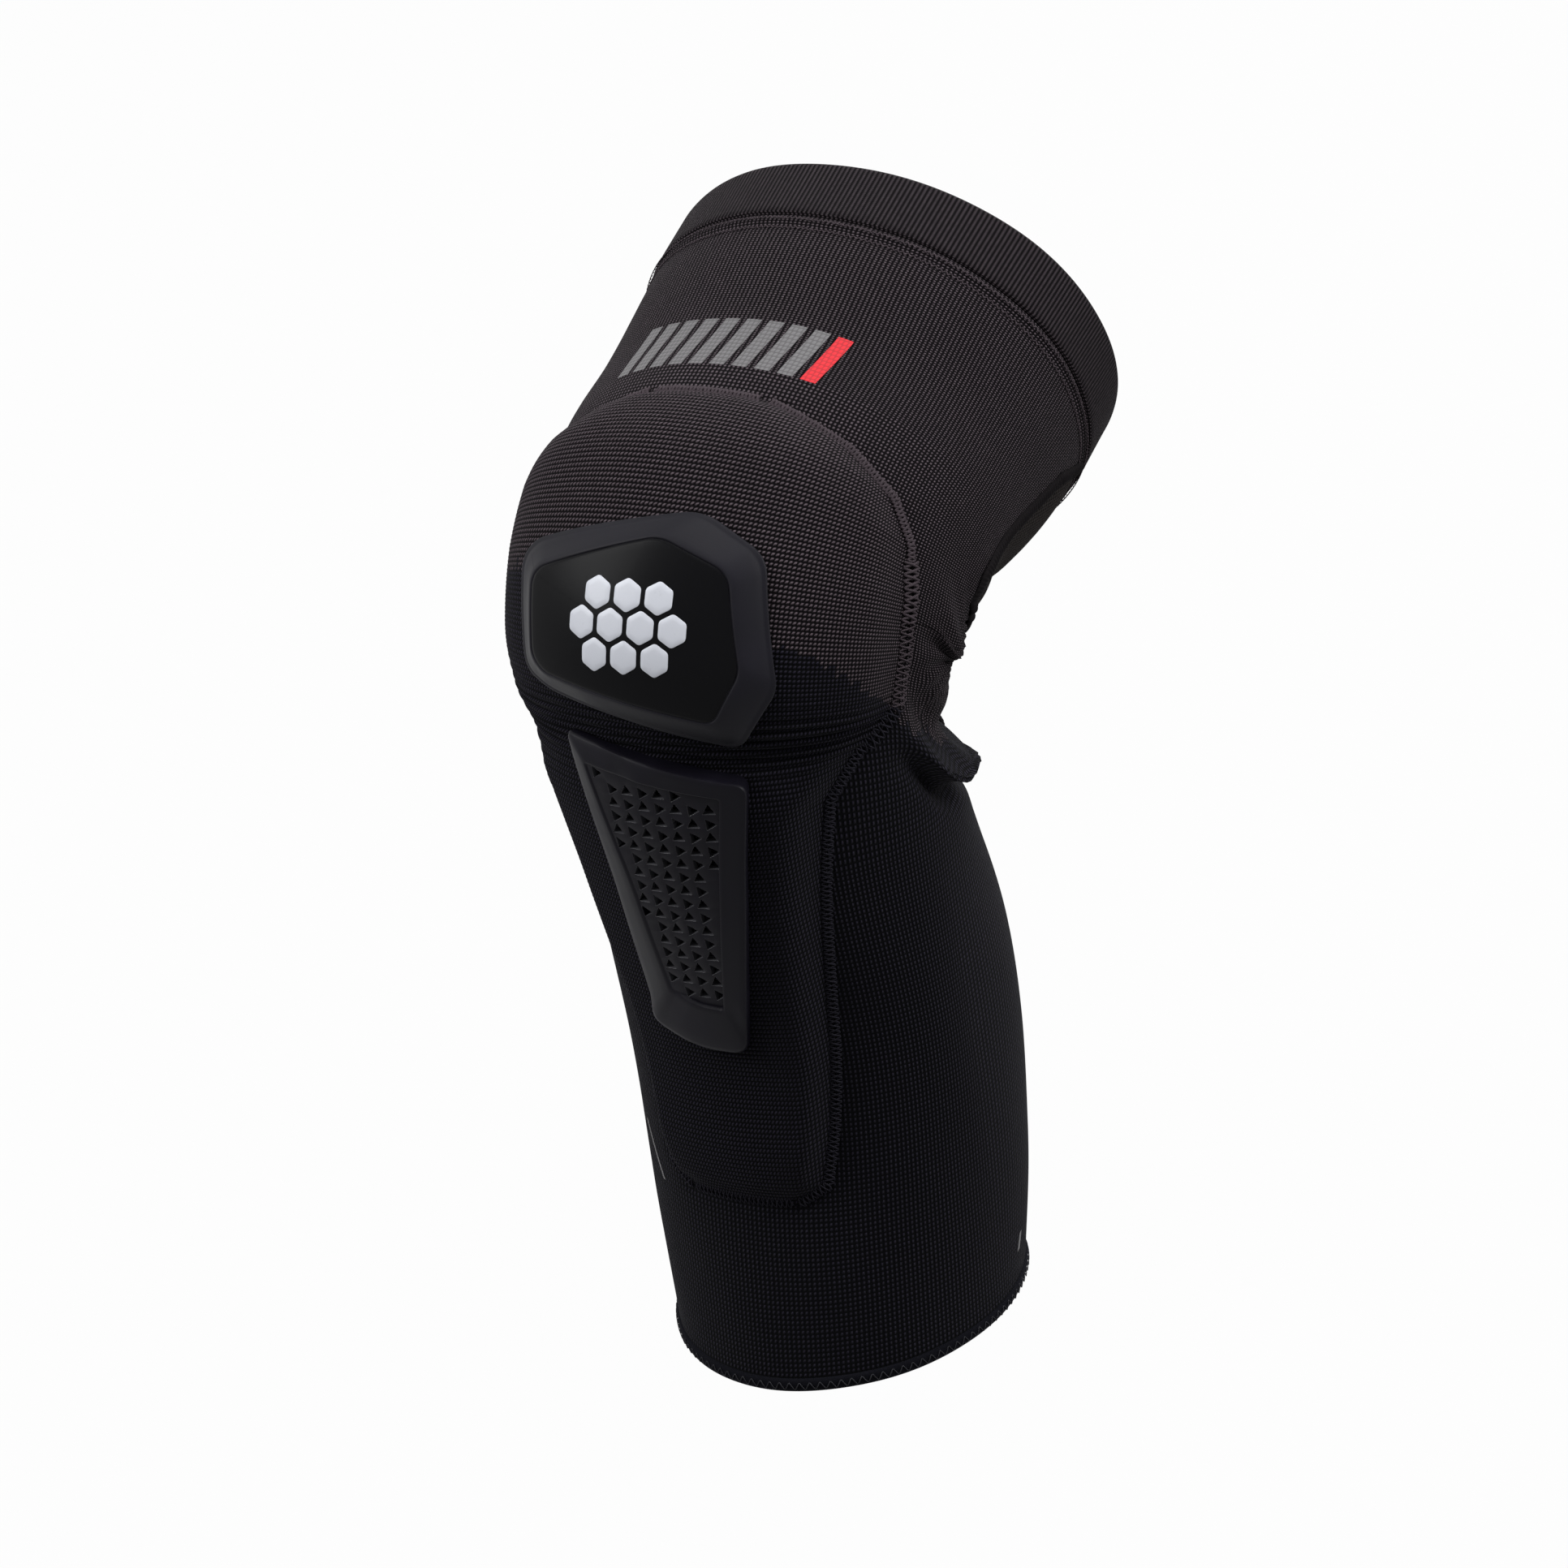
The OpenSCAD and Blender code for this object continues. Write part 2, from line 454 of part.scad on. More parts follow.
// Slanted bar printed on the knit between two stations, starting at angle t0.
module bar(u0, u1, t0, width, lean) {
    edge = function(t) [for (k = [0, 0.5, 1]) [mix(u0, u1, k), t + lean * k, seat]];
    ribbon(edge(t0), edge(t0 + width), 0, film);
}
bar_low = 2.0;
bar_high = 2.24;
bar_from = -34;
bar_pitch = 6;
bar_count = 9;
bar_width = 4;
bar_lean = 3;
module thigh_print_bar(i) bar(bar_low, bar_high, bar_from + i * bar_pitch, bar_width, bar_lean);
module thigh_print_bars() color("gray") for (i = [0:bar_count - 1]) thigh_print_bar(i);
module thigh_print_red() color("#a02028") thigh_print_bar(bar_count);
module shin_prints() color("gray") {
    bar(0.272, 0.345, -38.5, 2, -11);
    bar(0.066, 0.09, 104, 2.4, 2);
}

calf_sleeve();
hem_band();
hem_stitching();
hem_grip();
shin_pad();
shin_pocket();
shin_pocket_stitching();
shin_plate();
shin_prints();
calf_rear_mesh();
calf_rear_binding();
knee_pad();
knee_pocket();
knee_pocket_stitching();
knee_cap();
cap_facet();
cap_mark();
knee_sleeve();
knee_rear_mesh();
knee_rear_binding();
thigh_sleeve();
thigh_rear_mesh();
thigh_rear_binding();
top_cuff();
cuff_stitching();
cuff_grip();
thigh_print_bars();
thigh_print_red();
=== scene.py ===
import math

import bpy
import numpy as np
from mathutils import Matrix, Vector, geometry


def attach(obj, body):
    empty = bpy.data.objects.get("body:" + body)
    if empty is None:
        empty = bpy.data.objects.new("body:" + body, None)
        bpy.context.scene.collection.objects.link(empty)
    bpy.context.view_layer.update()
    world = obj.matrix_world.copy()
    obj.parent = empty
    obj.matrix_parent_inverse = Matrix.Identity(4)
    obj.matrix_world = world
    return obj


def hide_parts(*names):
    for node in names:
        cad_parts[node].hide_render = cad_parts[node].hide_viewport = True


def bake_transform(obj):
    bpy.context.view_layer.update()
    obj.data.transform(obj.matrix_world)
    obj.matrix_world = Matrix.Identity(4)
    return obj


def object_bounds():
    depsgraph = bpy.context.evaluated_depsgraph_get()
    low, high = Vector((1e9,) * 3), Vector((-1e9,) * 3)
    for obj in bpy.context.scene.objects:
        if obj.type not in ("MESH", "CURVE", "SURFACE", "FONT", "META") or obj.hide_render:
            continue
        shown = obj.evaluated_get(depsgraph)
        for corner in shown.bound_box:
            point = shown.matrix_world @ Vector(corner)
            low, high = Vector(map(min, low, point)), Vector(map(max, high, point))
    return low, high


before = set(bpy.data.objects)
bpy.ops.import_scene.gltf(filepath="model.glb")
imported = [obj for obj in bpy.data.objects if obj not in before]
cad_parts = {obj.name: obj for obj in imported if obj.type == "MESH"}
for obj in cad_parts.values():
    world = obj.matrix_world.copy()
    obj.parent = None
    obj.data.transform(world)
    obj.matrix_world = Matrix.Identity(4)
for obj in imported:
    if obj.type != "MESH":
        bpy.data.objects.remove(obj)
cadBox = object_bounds()
print("frame loaded")

# The sleeve's own sizes, in millimetres and degrees, the same as in the solids.
leg = {
    "kneeBend": 72,
    "shinLength": 200,
    "thighLength": 76,
    "turnRadius": 48,   # of the middle line in the bend
    "bendSide": 54,     # length along the side of the bend
    "hemWidth": 103,
    "calfWidth": 115,
    "kneeWidth": 134,
    "thighWidth": 144,
    "shinFront": 46,
    "kneeFront": 49,
    "calfBack": 74,
    "thighBack": 65,
    "foldRoom": 3,      # from the knit behind the knee to the centre of the bend
    "kneeFoam": 9,
    "shinFoam": 7,
    "cuffHeight": 20,
    "knit": 1.5,        # thickness of the sleeve
    "cover": 1.2,       # thickness of the pocket
    "seat": 0.3,        # clearance between layers
}

# Stations along the leg: 0 hem, 1 start of the bend, 2 end of the bend, 3 top edge.
stations = np.array([0, 0.2, 0.5, 0.8, 1, 1.5, 2, 2.25, 2.6, 3])
# Half width, and depth in front of and behind the middle line, at each station: a size from above
# and what the leg's shape adds to it there.
sideDepth = np.array([0, 3, 0, 0.5, -5, 0, -1.5, -1.5, -1, 0]) + np.repeat(
    [leg["hemWidth"] / 2, leg["calfWidth"] / 2, leg["kneeWidth"] / 2, leg["thighWidth"] / 2],
    [2, 2, 2, 4])
frontDepth = np.array([11, 4, -6, -0.5, 2, 0, 2, 3, 8.5, 11.5]) + np.repeat(
    [leg["shinFront"], leg["kneeFront"]], 5)
backDepth = np.array([-23, -6, 0, -18, 0, -2.5, 0, -8, 0, -4]) + np.repeat(
    [leg["calfBack"], leg["turnRadius"] - leg["foldRoom"], leg["thighBack"]], [4, 3, 3])
cuffLow = 3 - leg["cuffHeight"] / leg["thighLength"]
splitAt = 1.42      # station where the lower soft pieces hand over to the upper ones


def clip(x):
    return np.clip(x, 0, 1)


def mix(a, b, k):
    return a + (b - a) * k


def smooth(x):      # 0 to 1 with level ends
    x = clip(x)
    return x * x * (3 - 2 * x)


def ramp(x, start, over):   # smooth step that begins at start
    return smooth((x - start) / over)


def rise(x):        # quarter sine from 0 to 1
    return np.sin(np.pi / 2 * clip(x))


def bell(x):
    return np.exp(-x * x)


def hump(x, height, middle, half):
    return height * bell((x - middle) / half)


def signedAngle(t):
    return (t + 180) % 360 - 180


def stackedRows(*spans):    # spans of (from, to, rows) that share their ends
    return np.concatenate([np.linspace(*span)[:-1] for span in spans[:-1]] + [np.linspace(*spans[-1])])


# Smooth curve through a list of depths, one for each station (cubic Hermite, central slopes).
def along(depths, u):
    last = len(stations) - 1
    before, after = np.maximum(np.arange(last + 1) - 1, 0), np.minimum(np.arange(last + 1) + 1, last)
    slope = (depths[after] - depths[before]) / (stations[after] - stations[before])
    k = np.clip(np.searchsorted(stations, u, side="right") - 1, 0, last - 1)
    d = stations[k + 1] - stations[k]
    s = (u - stations[k]) / d
    return ((2 * s**3 - 3 * s**2 + 1) * depths[k] + (s**3 - 2 * s**2 + s) * d * slope[k]
            + (3 * s**2 - 2 * s**3) * depths[k + 1] + (s**3 - s**2) * d * slope[k + 1])


# A point h millimetres above the bare sleeve at station u and t degrees round from the front, in
# metres: half ellipses in front and behind, on a middle line that is straight, bent and straight.
def legPoint(u, t, h=0.0):
    u, t, h = np.broadcast_arrays(np.asarray(u, float), np.asarray(t, float), np.asarray(h, float))
    bend = math.radians(leg["kneeBend"])
    turn = bend * clip(u - 1)
    r, past = leg["turnRadius"], leg["thighLength"] * np.maximum(u - 2, 0)
    c, s = np.cos(np.radians(t)), np.sin(np.radians(t))
    depth = np.where(c > 0, along(frontDepth, u), along(backDepth, u)) + h
    y = r * (1 - np.cos(turn)) + past * math.sin(bend) - depth * c * np.cos(turn)
    z = (leg["shinLength"] * np.minimum(u, 1) + r * np.sin(turn) + past * math.cos(bend)
         + depth * c * np.sin(turn))
    return np.stack([(along(sideDepth, u) + h) * s, y, z], -1) / 1000


# Length along the side of the leg, in millimetres, and the station for a length. The scale runs on
# past both ends.
pastEnds = 0.2
bendEnd = leg["shinLength"] + leg["bendSide"]
sideStations = np.array([-pastEnds, 1, 2, 3 + pastEnds])
sideLengths = np.array([-pastEnds * leg["shinLength"], leg["shinLength"], bendEnd,
                        bendEnd + (1 + pastEnds) * leg["thighLength"]])


def sideLength(u):
    return np.interp(u, sideStations, sideLengths)


def sideStation(length):
    return np.interp(length, sideLengths, sideStations)


# Folds of spare knit behind the knee. Lengths are along the side of the leg, in millimetres,
# and angles in degrees round from the front. A name with "Over" holds where a ramp begins and how
# long it is. A hump is its height, its middle and its half width.
folds = {
    # The lower roll: its middle at the seam and at the back, lower still at the very back.
    "rollFrom": 205, "rollTo": 181, "rollTurn": 40,
    "sink": 5, "sinkOver": (108, 30),
    "rollStart": 66, "rollFull": 92,
    "rollLeft": 0.25, "leftOver": (118, 40),    # share of the roll that is left at the very back
    "rollOut": 4.8, "above": (5, 2.4), "below": (7.5, 4),   # half height and power of each side
    "furrowAbove": (4, 10, 5), "furrowBelow": (5, -12, 5), "drop": (9, 1.5, 6.5),
    "hollow": (4.5, 13, 9), "hollowOver": (108, 20),        # above the roll, only at the back
    # The upper pleat, the bulge above it and the fine ribs that fan out from its tip.
    "pleatFrom": 230, "pleatTo": 220, "pleatTurn": 34,
    "pleatStart": 73, "pleatFull": 96, "pleatEnd": 132,
    "pleatOut": 3.6, "pleatDrop": 5.5, "pleatHalf": 5.5,
    "bulge": (3.2, 240, 13), "bulgeOver": (84, 22),
    "tip": (216, 109), "perDegree": 1.1, "ribs": 26, "ribOut": 0.65,
    "fanStart": (1, 6), "fanEnd": (40, 20), "fanBack": 2, "fanHeight": (3, 16),
}


# Ribs round the pleat's tip: a cosine of the direction from the tip, faded in near the tip and out
# far from it, in front of it, and above and below.
def ribFan(length, a):
    up, across = length - folds["tip"][0], folds["perDegree"] * (folds["tip"][1] - a)
    far, back = np.hypot(up, across), folds["fanBack"]
    (end, endOver), (middle, half) = folds["fanEnd"], folds["fanHeight"]
    fade = ramp(far, *folds["fanStart"]) * smooth((end - far) / endOver) * (across > -back)
    return np.cos(folds["ribs"] * np.arctan2(up, across + back)) * fade * bell((up - middle) / half)


# The station where the knit of station u comes to lie, and its height above the bare sleeve.
def foldShift(u, t):
    f, a, length = folds, np.abs(signedAngle(t)), sideLength(u)
    at = mix(f["rollFrom"], f["rollTo"], ramp(a, f["rollStart"], f["rollTurn"]))
    at = at - f["sink"] * ramp(a, *f["sinkOver"])
    left = mix(1, f["rollLeft"], ramp(a, *f["leftOver"]))
    k = ramp(a, f["rollStart"], f["rollFull"] - f["rollStart"]) * left
    away = length - at
    half, power = (np.where(away > 0, f["above"][n], f["below"][n]) for n in (0, 1))
    roll = np.exp(-(np.abs(away) / half) ** power)
    out = k * (f["rollOut"] * roll - hump(away, *f["furrowAbove"]) - hump(away, *f["furrowBelow"]))
    out = out - ramp(a, *f["hollowOver"]) * hump(away, *f["hollow"])
    drop = k * hump(away, *f["drop"])
    at = mix(f["pleatFrom"], f["pleatTo"], ramp(a, f["pleatStart"], f["pleatTurn"]))
    k = ramp(a, f["pleatStart"], f["pleatFull"] - f["pleatStart"]) * (
        1 - ramp(a, f["pleatFull"], f["pleatEnd"] - f["pleatFull"]))
    pleat = k * bell((length - at) / f["pleatHalf"])
    bulge = ramp(a, *f["bulgeOver"]) * hump(length, *f["bulge"])
    out = out + f["pleatOut"] * pleat + bulge + f["ribOut"] * ribFan(length, a)
    return sideStation(length - drop - f["pleatDrop"] * pleat), out


# Slow unevenness of worn knit: sines round and along the leg, of 0.1 to 0.25 millimetres, with no
# common measure between their lengths, so that they don't repeat.
def slack(u, t):
    length, a = sideLength(u), np.radians(t)
    return (0.25 * np.sin(3 * a + length / 31) * np.sin(length / 47 + 1)
            + 0.15 * np.sin(5 * a - length / 19 + 2) + 0.1 * np.sin(9 * a + length / 11))


def fabricPoint(u, t, h=0.0):       # on the folded sleeve
    station, out = foldShift(u, t)
    return legPoint(station, t, h + out + slack(u, t))


def coverPoint(u, t, h=0.0):        # on a pocket, which has slack but no folds
    return legPoint(u, t, h + slack(u, t))


# Padded pockets over shin and knee, in stations, degrees and millimetres
pocket = {
    # Station and half width.
    "reach": np.array([[0.29, 17], [0.32, 28], [0.4, 31], [0.6, 36], [0.8, 43], [0.94, 48], [1.04, 64],
                       [1.12, 72], [1.3, 73], [1.5, 71], [1.67, 65.5], [1.78, 56], [1.86, 40], [1.92, 14]]),
    "foot": 0.29, "head": 1.92,
    "shinEdge": 0.34, "kneeEdge": 0.55,     # shares of the half width over which the foam thins out
    "footOver": 0.12, "headOver": 0.22,     # stations over which it rises at the foot and the head
    # At the groove: station where the foam ends, stations over which it thins, and the share left.
    "shinLip": (0.99, 0.06, 0.75), "kneeLip": (1.04, 0.25, 0.4), "groove": (0.96, 0.1),
    # How the cover comes down to the sleeve: shares of the half width on shin and knee, stations at
    # the ends, and what is left of its height.
    "coverEdge": (0.34, 0.24), "coverTurn": (0.9, 0.3), "coverEnds": 0.045, "film": 0.15,
    "ribPitch": 1.5, "ribHeight": 0.16,     # rows of the pocket's knit, in millimetres
    "creaseHeight": 0.75, "creaseRows": 2.3, "creaseAt": 1.09, "creaseHalf": 0.075,
    "ribFade": (0.3, 0.35), "ribLost": 0.7,
    "sideShade": (0.6, 0.025), "headShade": (0.75, 0.013),      # painted shade in the seam: depth, half width
    "bendLength": 133,                      # front length of the bend over the pocket
    "columns": 71, "edgeShare": 0.35, "stepsPerRow": 4,     # columns are closer towards the edges
}


def reach(u):       # half width of the pocket in degrees
    return np.interp(u, pocket["reach"][:, 0], pocket["reach"][:, 1])


# Height of the foam: level in the middle, quarter sines down to every edge, a groove at the knee.
def foamHeight(u, t):
    off = 1 - np.abs(t) / reach(u)
    lipEnd, lipLength, lipShare = pocket["shinLip"]
    shin = leg["shinFoam"] * rise(off / pocket["shinEdge"]) * np.minimum(
        rise((u - pocket["foot"]) / pocket["footOver"]), mix(lipShare, 1, rise((lipEnd - u) / lipLength)))
    lipEnd, lipLength, lipShare = pocket["kneeLip"]
    knee = leg["kneeFoam"] * rise(off / pocket["kneeEdge"]) * np.minimum(
        rise((pocket["head"] - u) / pocket["headOver"]), mix(lipShare, 1, rise((u - lipEnd) / lipLength)))
    return mix(shin, knee, ramp(u, *pocket["groove"]))


def coverHeight(u, t):  # outer face of the cover where it lies on the foam
    return foamHeight(u, t) + leg["seat"] + leg["cover"]


def pocketRow(u):   # number of knit rows up to station u, counted along the front
    length = leg["shinLength"] * np.minimum(u, 1) + pocket["bendLength"] * np.maximum(u - 1, 0)
    return length / pocket["ribPitch"]


def pocketStation(row):
    known = np.array([0, 1, 3])
    return np.interp(row, pocketRow(known), known)


def pocketTop(u, t):    # outer face of the pocket, above the bare sleeve
    near = clip((1 - np.abs(t) / reach(u)) / mix(*pocket["coverEdge"], ramp(u, *pocket["coverTurn"])))
    ends = clip(np.minimum(u - pocket["foot"], pocket["head"] - u) / pocket["coverEnds"])
    return mix(pocket["film"], coverHeight(u, t), rise(near) * rise(ends))


# An object at the origin from points and faces. uv holds a pair for each corner of each face, and
# values a number for each point.
def newPiece(name, points, faces, uv=None, values=None, sharp=None):
    mesh = bpy.data.meshes.new(name)
    mesh.from_pydata(np.reshape(points, (-1, 3)).tolist(), [], faces)
    if uv is not None:
        mesh.uv_layers.new(name="knit").data.foreach_set("uv", uv.astype(np.float32).ravel())
    for key, each in (values or {}).items():
        mesh.attributes.new(key, "FLOAT", "POINT").data.foreach_set("value", each.astype(np.float32))
    mesh.update()
    mesh.shade_smooth()
    if sharp:
        mesh.set_sharp_from_angle(angle=math.radians(sharp))
    piece = bpy.data.objects.new(name, mesh)
    bpy.context.scene.collection.objects.link(piece)
    return piece


# Quads over a grid of points, rows up the leg and columns round it, with the outward side up. The
# grid may be closed around or upward. turned is for columns that run the other way round.
def gridQuads(rows, columns, around=False, upward=False, turned=False, keep=None):
    i, j = np.meshgrid(np.arange(rows if upward else rows - 1), np.arange(columns if around else columns - 1),
                       indexing="ij")
    if keep is not None:
        i, j = i[keep], j[keep]
    i, j = i.ravel(), j.ravel()
    low, high, after = i * columns, (i + 1) % rows * columns, (j + 1) % columns
    quads = np.stack([low + j, low + after, high + after, high + j], -1)
    return np.roll(quads[:, ::-1], 1, 1) if turned else quads


# A sheet over a grid of points. uv has one row or column more than the points where the grid is closed.
def surface(name, points, uv=None, around=False, upward=False, keep=None, values=None):
    n, m = points.shape[:2]
    used, inverse = np.unique(gridQuads(n, m, around, upward, keep=keep), return_inverse=True)
    if uv is not None:
        uv = uv.reshape(-1, 2)[gridQuads(*uv.shape[:2], keep=keep).ravel()]
    values = {key: np.broadcast_to(each, (n, m)).ravel()[used] for key, each in (values or {}).items()}
    return newPiece(name, points.reshape(-1, 3)[used], inverse.reshape(-1, 4).tolist(), uv, values)


# A closed solid between an outer and an inner grid.
def slab(name, outer, inner, uv=None, sharp=None):
    n, m = outer.shape[:2]
    top = gridQuads(n, m)
    rim = np.concatenate([np.arange(m), np.arange(1, n) * m + m - 1,
                          (n - 1) * m + np.arange(m - 2, -1, -1), np.arange(n - 2, 0, -1) * m])
    after = np.roll(rim, -1)
    wall = np.stack([rim, rim + n * m, after + n * m, after], -1)
    faces = np.concatenate([top, top[:, ::-1] + n * m, wall])
    if uv is not None:
        uv = np.concatenate([uv, uv]).reshape(-1, 2)[faces.ravel()]
    return newPiece(name, np.concatenate([outer, inner]), faces.tolist(), uv, sharp=sharp)


# A closed skin over a stack of loops of equal length, shut by a point at each end.
def loft(name, loops, first, last, sharp=None):
    k, m = loops.shape[:2]
    points = np.concatenate([first[None], loops.reshape(-1, 3), last[None]])
    j = np.arange(m)
    after = (j + 1) % m
    foot = np.stack([np.zeros(m, int), 1 + after, 1 + j], -1)
    head = np.stack([np.full(m, 1 + k * m), 1 + (k - 1) * m + j, 1 + (k - 1) * m + after], -1)
    faces = (1 + gridQuads(k, m, around=True)).tolist() + foot.tolist() + head.tolist()
    return newPiece(name, points, faces, sharp=sharp)


# Closed rods in one mesh, each a stack of rings that is shut by a flat face at both ends.
def rods(name, stacks, values=None, sharp=None):
    faces, start = [], 0
    for rings in stacks:
        n, k = rings.shape[:2]
        faces += (start + gridQuads(n, k, around=True, turned=True)).tolist()
        faces += [(start + np.arange(k)).tolist(), (start + (n - 1) * k + np.arange(k)[::-1]).tolist()]
        start += n * k
    points = np.concatenate([rings.reshape(-1, 3) for rings in stacks])
    return newPiece(name, points, faces, None, values, sharp)


# Round tubes carried along paths of points, each with the surface's normal and its tone.
def tubes(name, paths, radius, sides=6):
    stacks, turn = [], np.arange(sides) * 2 * np.pi / sides
    for path, up, _ in paths:
        ahead = np.gradient(path, axis=0)
        ahead /= np.linalg.norm(ahead, axis=1, keepdims=True) + 1e-12
        across = np.cross(ahead, up)
        across /= np.linalg.norm(across, axis=1, keepdims=True) + 1e-12
        over = np.cross(across, ahead)
        stacks.append(path[:, None] + radius * (np.cos(turn)[None, :, None] * across[:, None]
                                                + np.sin(turn)[None, :, None] * over[:, None]))
    tones = np.concatenate([np.repeat(tone, sides) for _, _, tone in paths])
    return rods(name, stacks, {"tone": tones})


def thicken(piece, millimetres, rimSlot=0):
    wall = piece.modifiers.new("wall", "SOLIDIFY")
    wall.thickness, wall.offset, wall.material_offset_rim = millimetres / 1000, -1, rimSlot


# Zones where soft pieces cross the two hinges: from one body to the next over a zone across the hinge line,
# with the hinge, the zone's direction and its length in millimetres. A piece in a zone stays where it is.
zones = {
    "low": ("shin", "knee", "pad_flex", (0, 0.31, 0.951), 60),
    "high": ("knee", "thigh", "knee_flex", (0, 0.788, 0.616), 70),
}


def follow(piece, how):
    if how in zones:
        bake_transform(piece)
    else:
        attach(piece, how)


# Gives a piece its body or zone, and hides the solids that it stands for.
def assign(piece, how, slot, *nodes):
    follow(piece, how)
    if nodes:
        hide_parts(*nodes)


# A material's node graph, with short forms for the nodes that are used here
class Graph:
    def __init__(self, name):
        self.material = bpy.data.materials.new(name)
        self.material.use_nodes = True
        self.tree = self.material.node_tree
        self.tree.nodes.clear()
        self.shader = self.add("ShaderNodeBsdfPrincipled")
        output = self.add("ShaderNodeOutputMaterial")
        self.tree.links.new(self.shader.outputs["BSDF"], output.inputs["Surface"])

    def add(self, kind, **settings):
        node = self.tree.nodes.new(kind)
        for key, value in settings.items():
            setattr(node, key, value)
        return node

    def put(self, socket, value):
        if isinstance(value, bpy.types.NodeSocket):
            self.tree.links.new(value, socket)
        elif value is not None:
            socket.default_value = value[:3] if socket.type == "VECTOR" else value

    def math(self, operation, *values):
        node = self.add("ShaderNodeMath", operation=operation)
        for socket, value in zip(node.inputs, values):
            self.put(socket, value)
        return node.outputs[0]

    def step(self, value, low, high):       # smooth step from 0 at low to 1 at high
        node = self.add("ShaderNodeMapRange", interpolation_type="SMOOTHSTEP")
        for socket, v in zip(node.inputs, (value, low, high, 0.0, 1.0)):
            self.put(socket, v)
        return node.outputs[0]

    def blend(self, k, a, b):
        node = self.add("ShaderNodeMix", data_type="RGBA")
        self.put(node.inputs[0], k)
        self.put(node.inputs[6], a)
        self.put(node.inputs[7], b)
        return node.outputs[2]

    def scaled(self, colour, k):            # colour times a number
        node = self.add("ShaderNodeVectorMath", operation="SCALE")
        self.put(node.inputs[0], colour)
        self.put(node.inputs["Scale"], k)
        return node.outputs[0]

    def uv(self):
        node = self.add("ShaderNodeSeparateXYZ")
        self.put(node.inputs[0], self.add("ShaderNodeUVMap", uv_map="knit").outputs[0])
        return node.outputs[0], node.outputs[1]

    def noise(self, scale, detail=2.0, place=None):
        node = self.add("ShaderNodeTexNoise")
        self.put(node.inputs["Vector"], place or self.add("ShaderNodeTexCoord").outputs["Object"])
        node.inputs["Scale"].default_value = scale
        node.inputs["Detail"].default_value = detail
        return node.outputs["Fac"]

    def random(self, x, y):
        pair = self.add("ShaderNodeCombineXYZ")
        self.put(pair.inputs[0], x)
        self.put(pair.inputs[1], y)
        node = self.add("ShaderNodeTexWhiteNoise", noise_dimensions="2D")
        self.put(node.inputs["Vector"], pair.outputs[0])
        return node.outputs["Value"]

    def bump(self, height, millimetres, strength=1.0):
        node = self.add("ShaderNodeBump")
        node.inputs["Strength"].default_value = strength
        node.inputs["Distance"].default_value = millimetres / 1000
        self.put(node.inputs["Height"], height)
        self.put(self.shader.inputs["Normal"], node.outputs[0])

    def attribute(self, name):
        return self.add("ShaderNodeAttribute", attribute_name=name).outputs["Fac"]

    def finish(self, colour, roughness, specular=0.5, sheen=0.0):
        inputs = self.shader.inputs
        self.put(inputs["Base Color"], colour)
        self.put(inputs["Roughness"], roughness)
        inputs["Specular IOR Level"].default_value = specular
        inputs["Sheen Weight"].default_value = sheen
        inputs["Sheen Roughness"].default_value = 0.5
        return self.material


def wave(g, x):     # 0 at whole numbers, 1 half way
    return g.math("MULTIPLY_ADD", g.math("COSINE", g.math("MULTIPLY", x, 2 * math.pi)), -0.5, 0.5)


# Colours of the yarn, and of the gaps between stitches.
charcoal = {"yarn": (0.083, 0.066, 0.076, 1), "gap": (0.0025, 0.0018, 0.0025, 1)}
sleeveCharcoal = {"yarn": (0.098, 0.079, 0.091, 1), "gap": (0.0025, 0.0018, 0.0025, 1)}
pocketBlack = {"yarn": (0.0185, 0.0165, 0.0265, 1), "gap": (0.0008, 0.0008, 0.0013, 1)}
black = {"yarn": (0.0225, 0.0205, 0.0315, 1), "gap": (0.001, 0.001, 0.0016, 1)}


def stitchPlace(g, lean):       # column and row on the piece's own map, leaning within each row
    x, y = g.uv()
    share = g.math("SUBTRACT", g.math("FRACT", y), 0.5)
    return g.math("MULTIPLY_ADD", share, lean, x), y


# Oval bumps, one in each cell of columns and rows, with a pit where four cells meet.
def stitchHeight(g, columns, rows, tight):
    return g.math("MULTIPLY", *(g.math("POWER", wave(g, x), k) for x, k in zip((columns, rows), tight)))


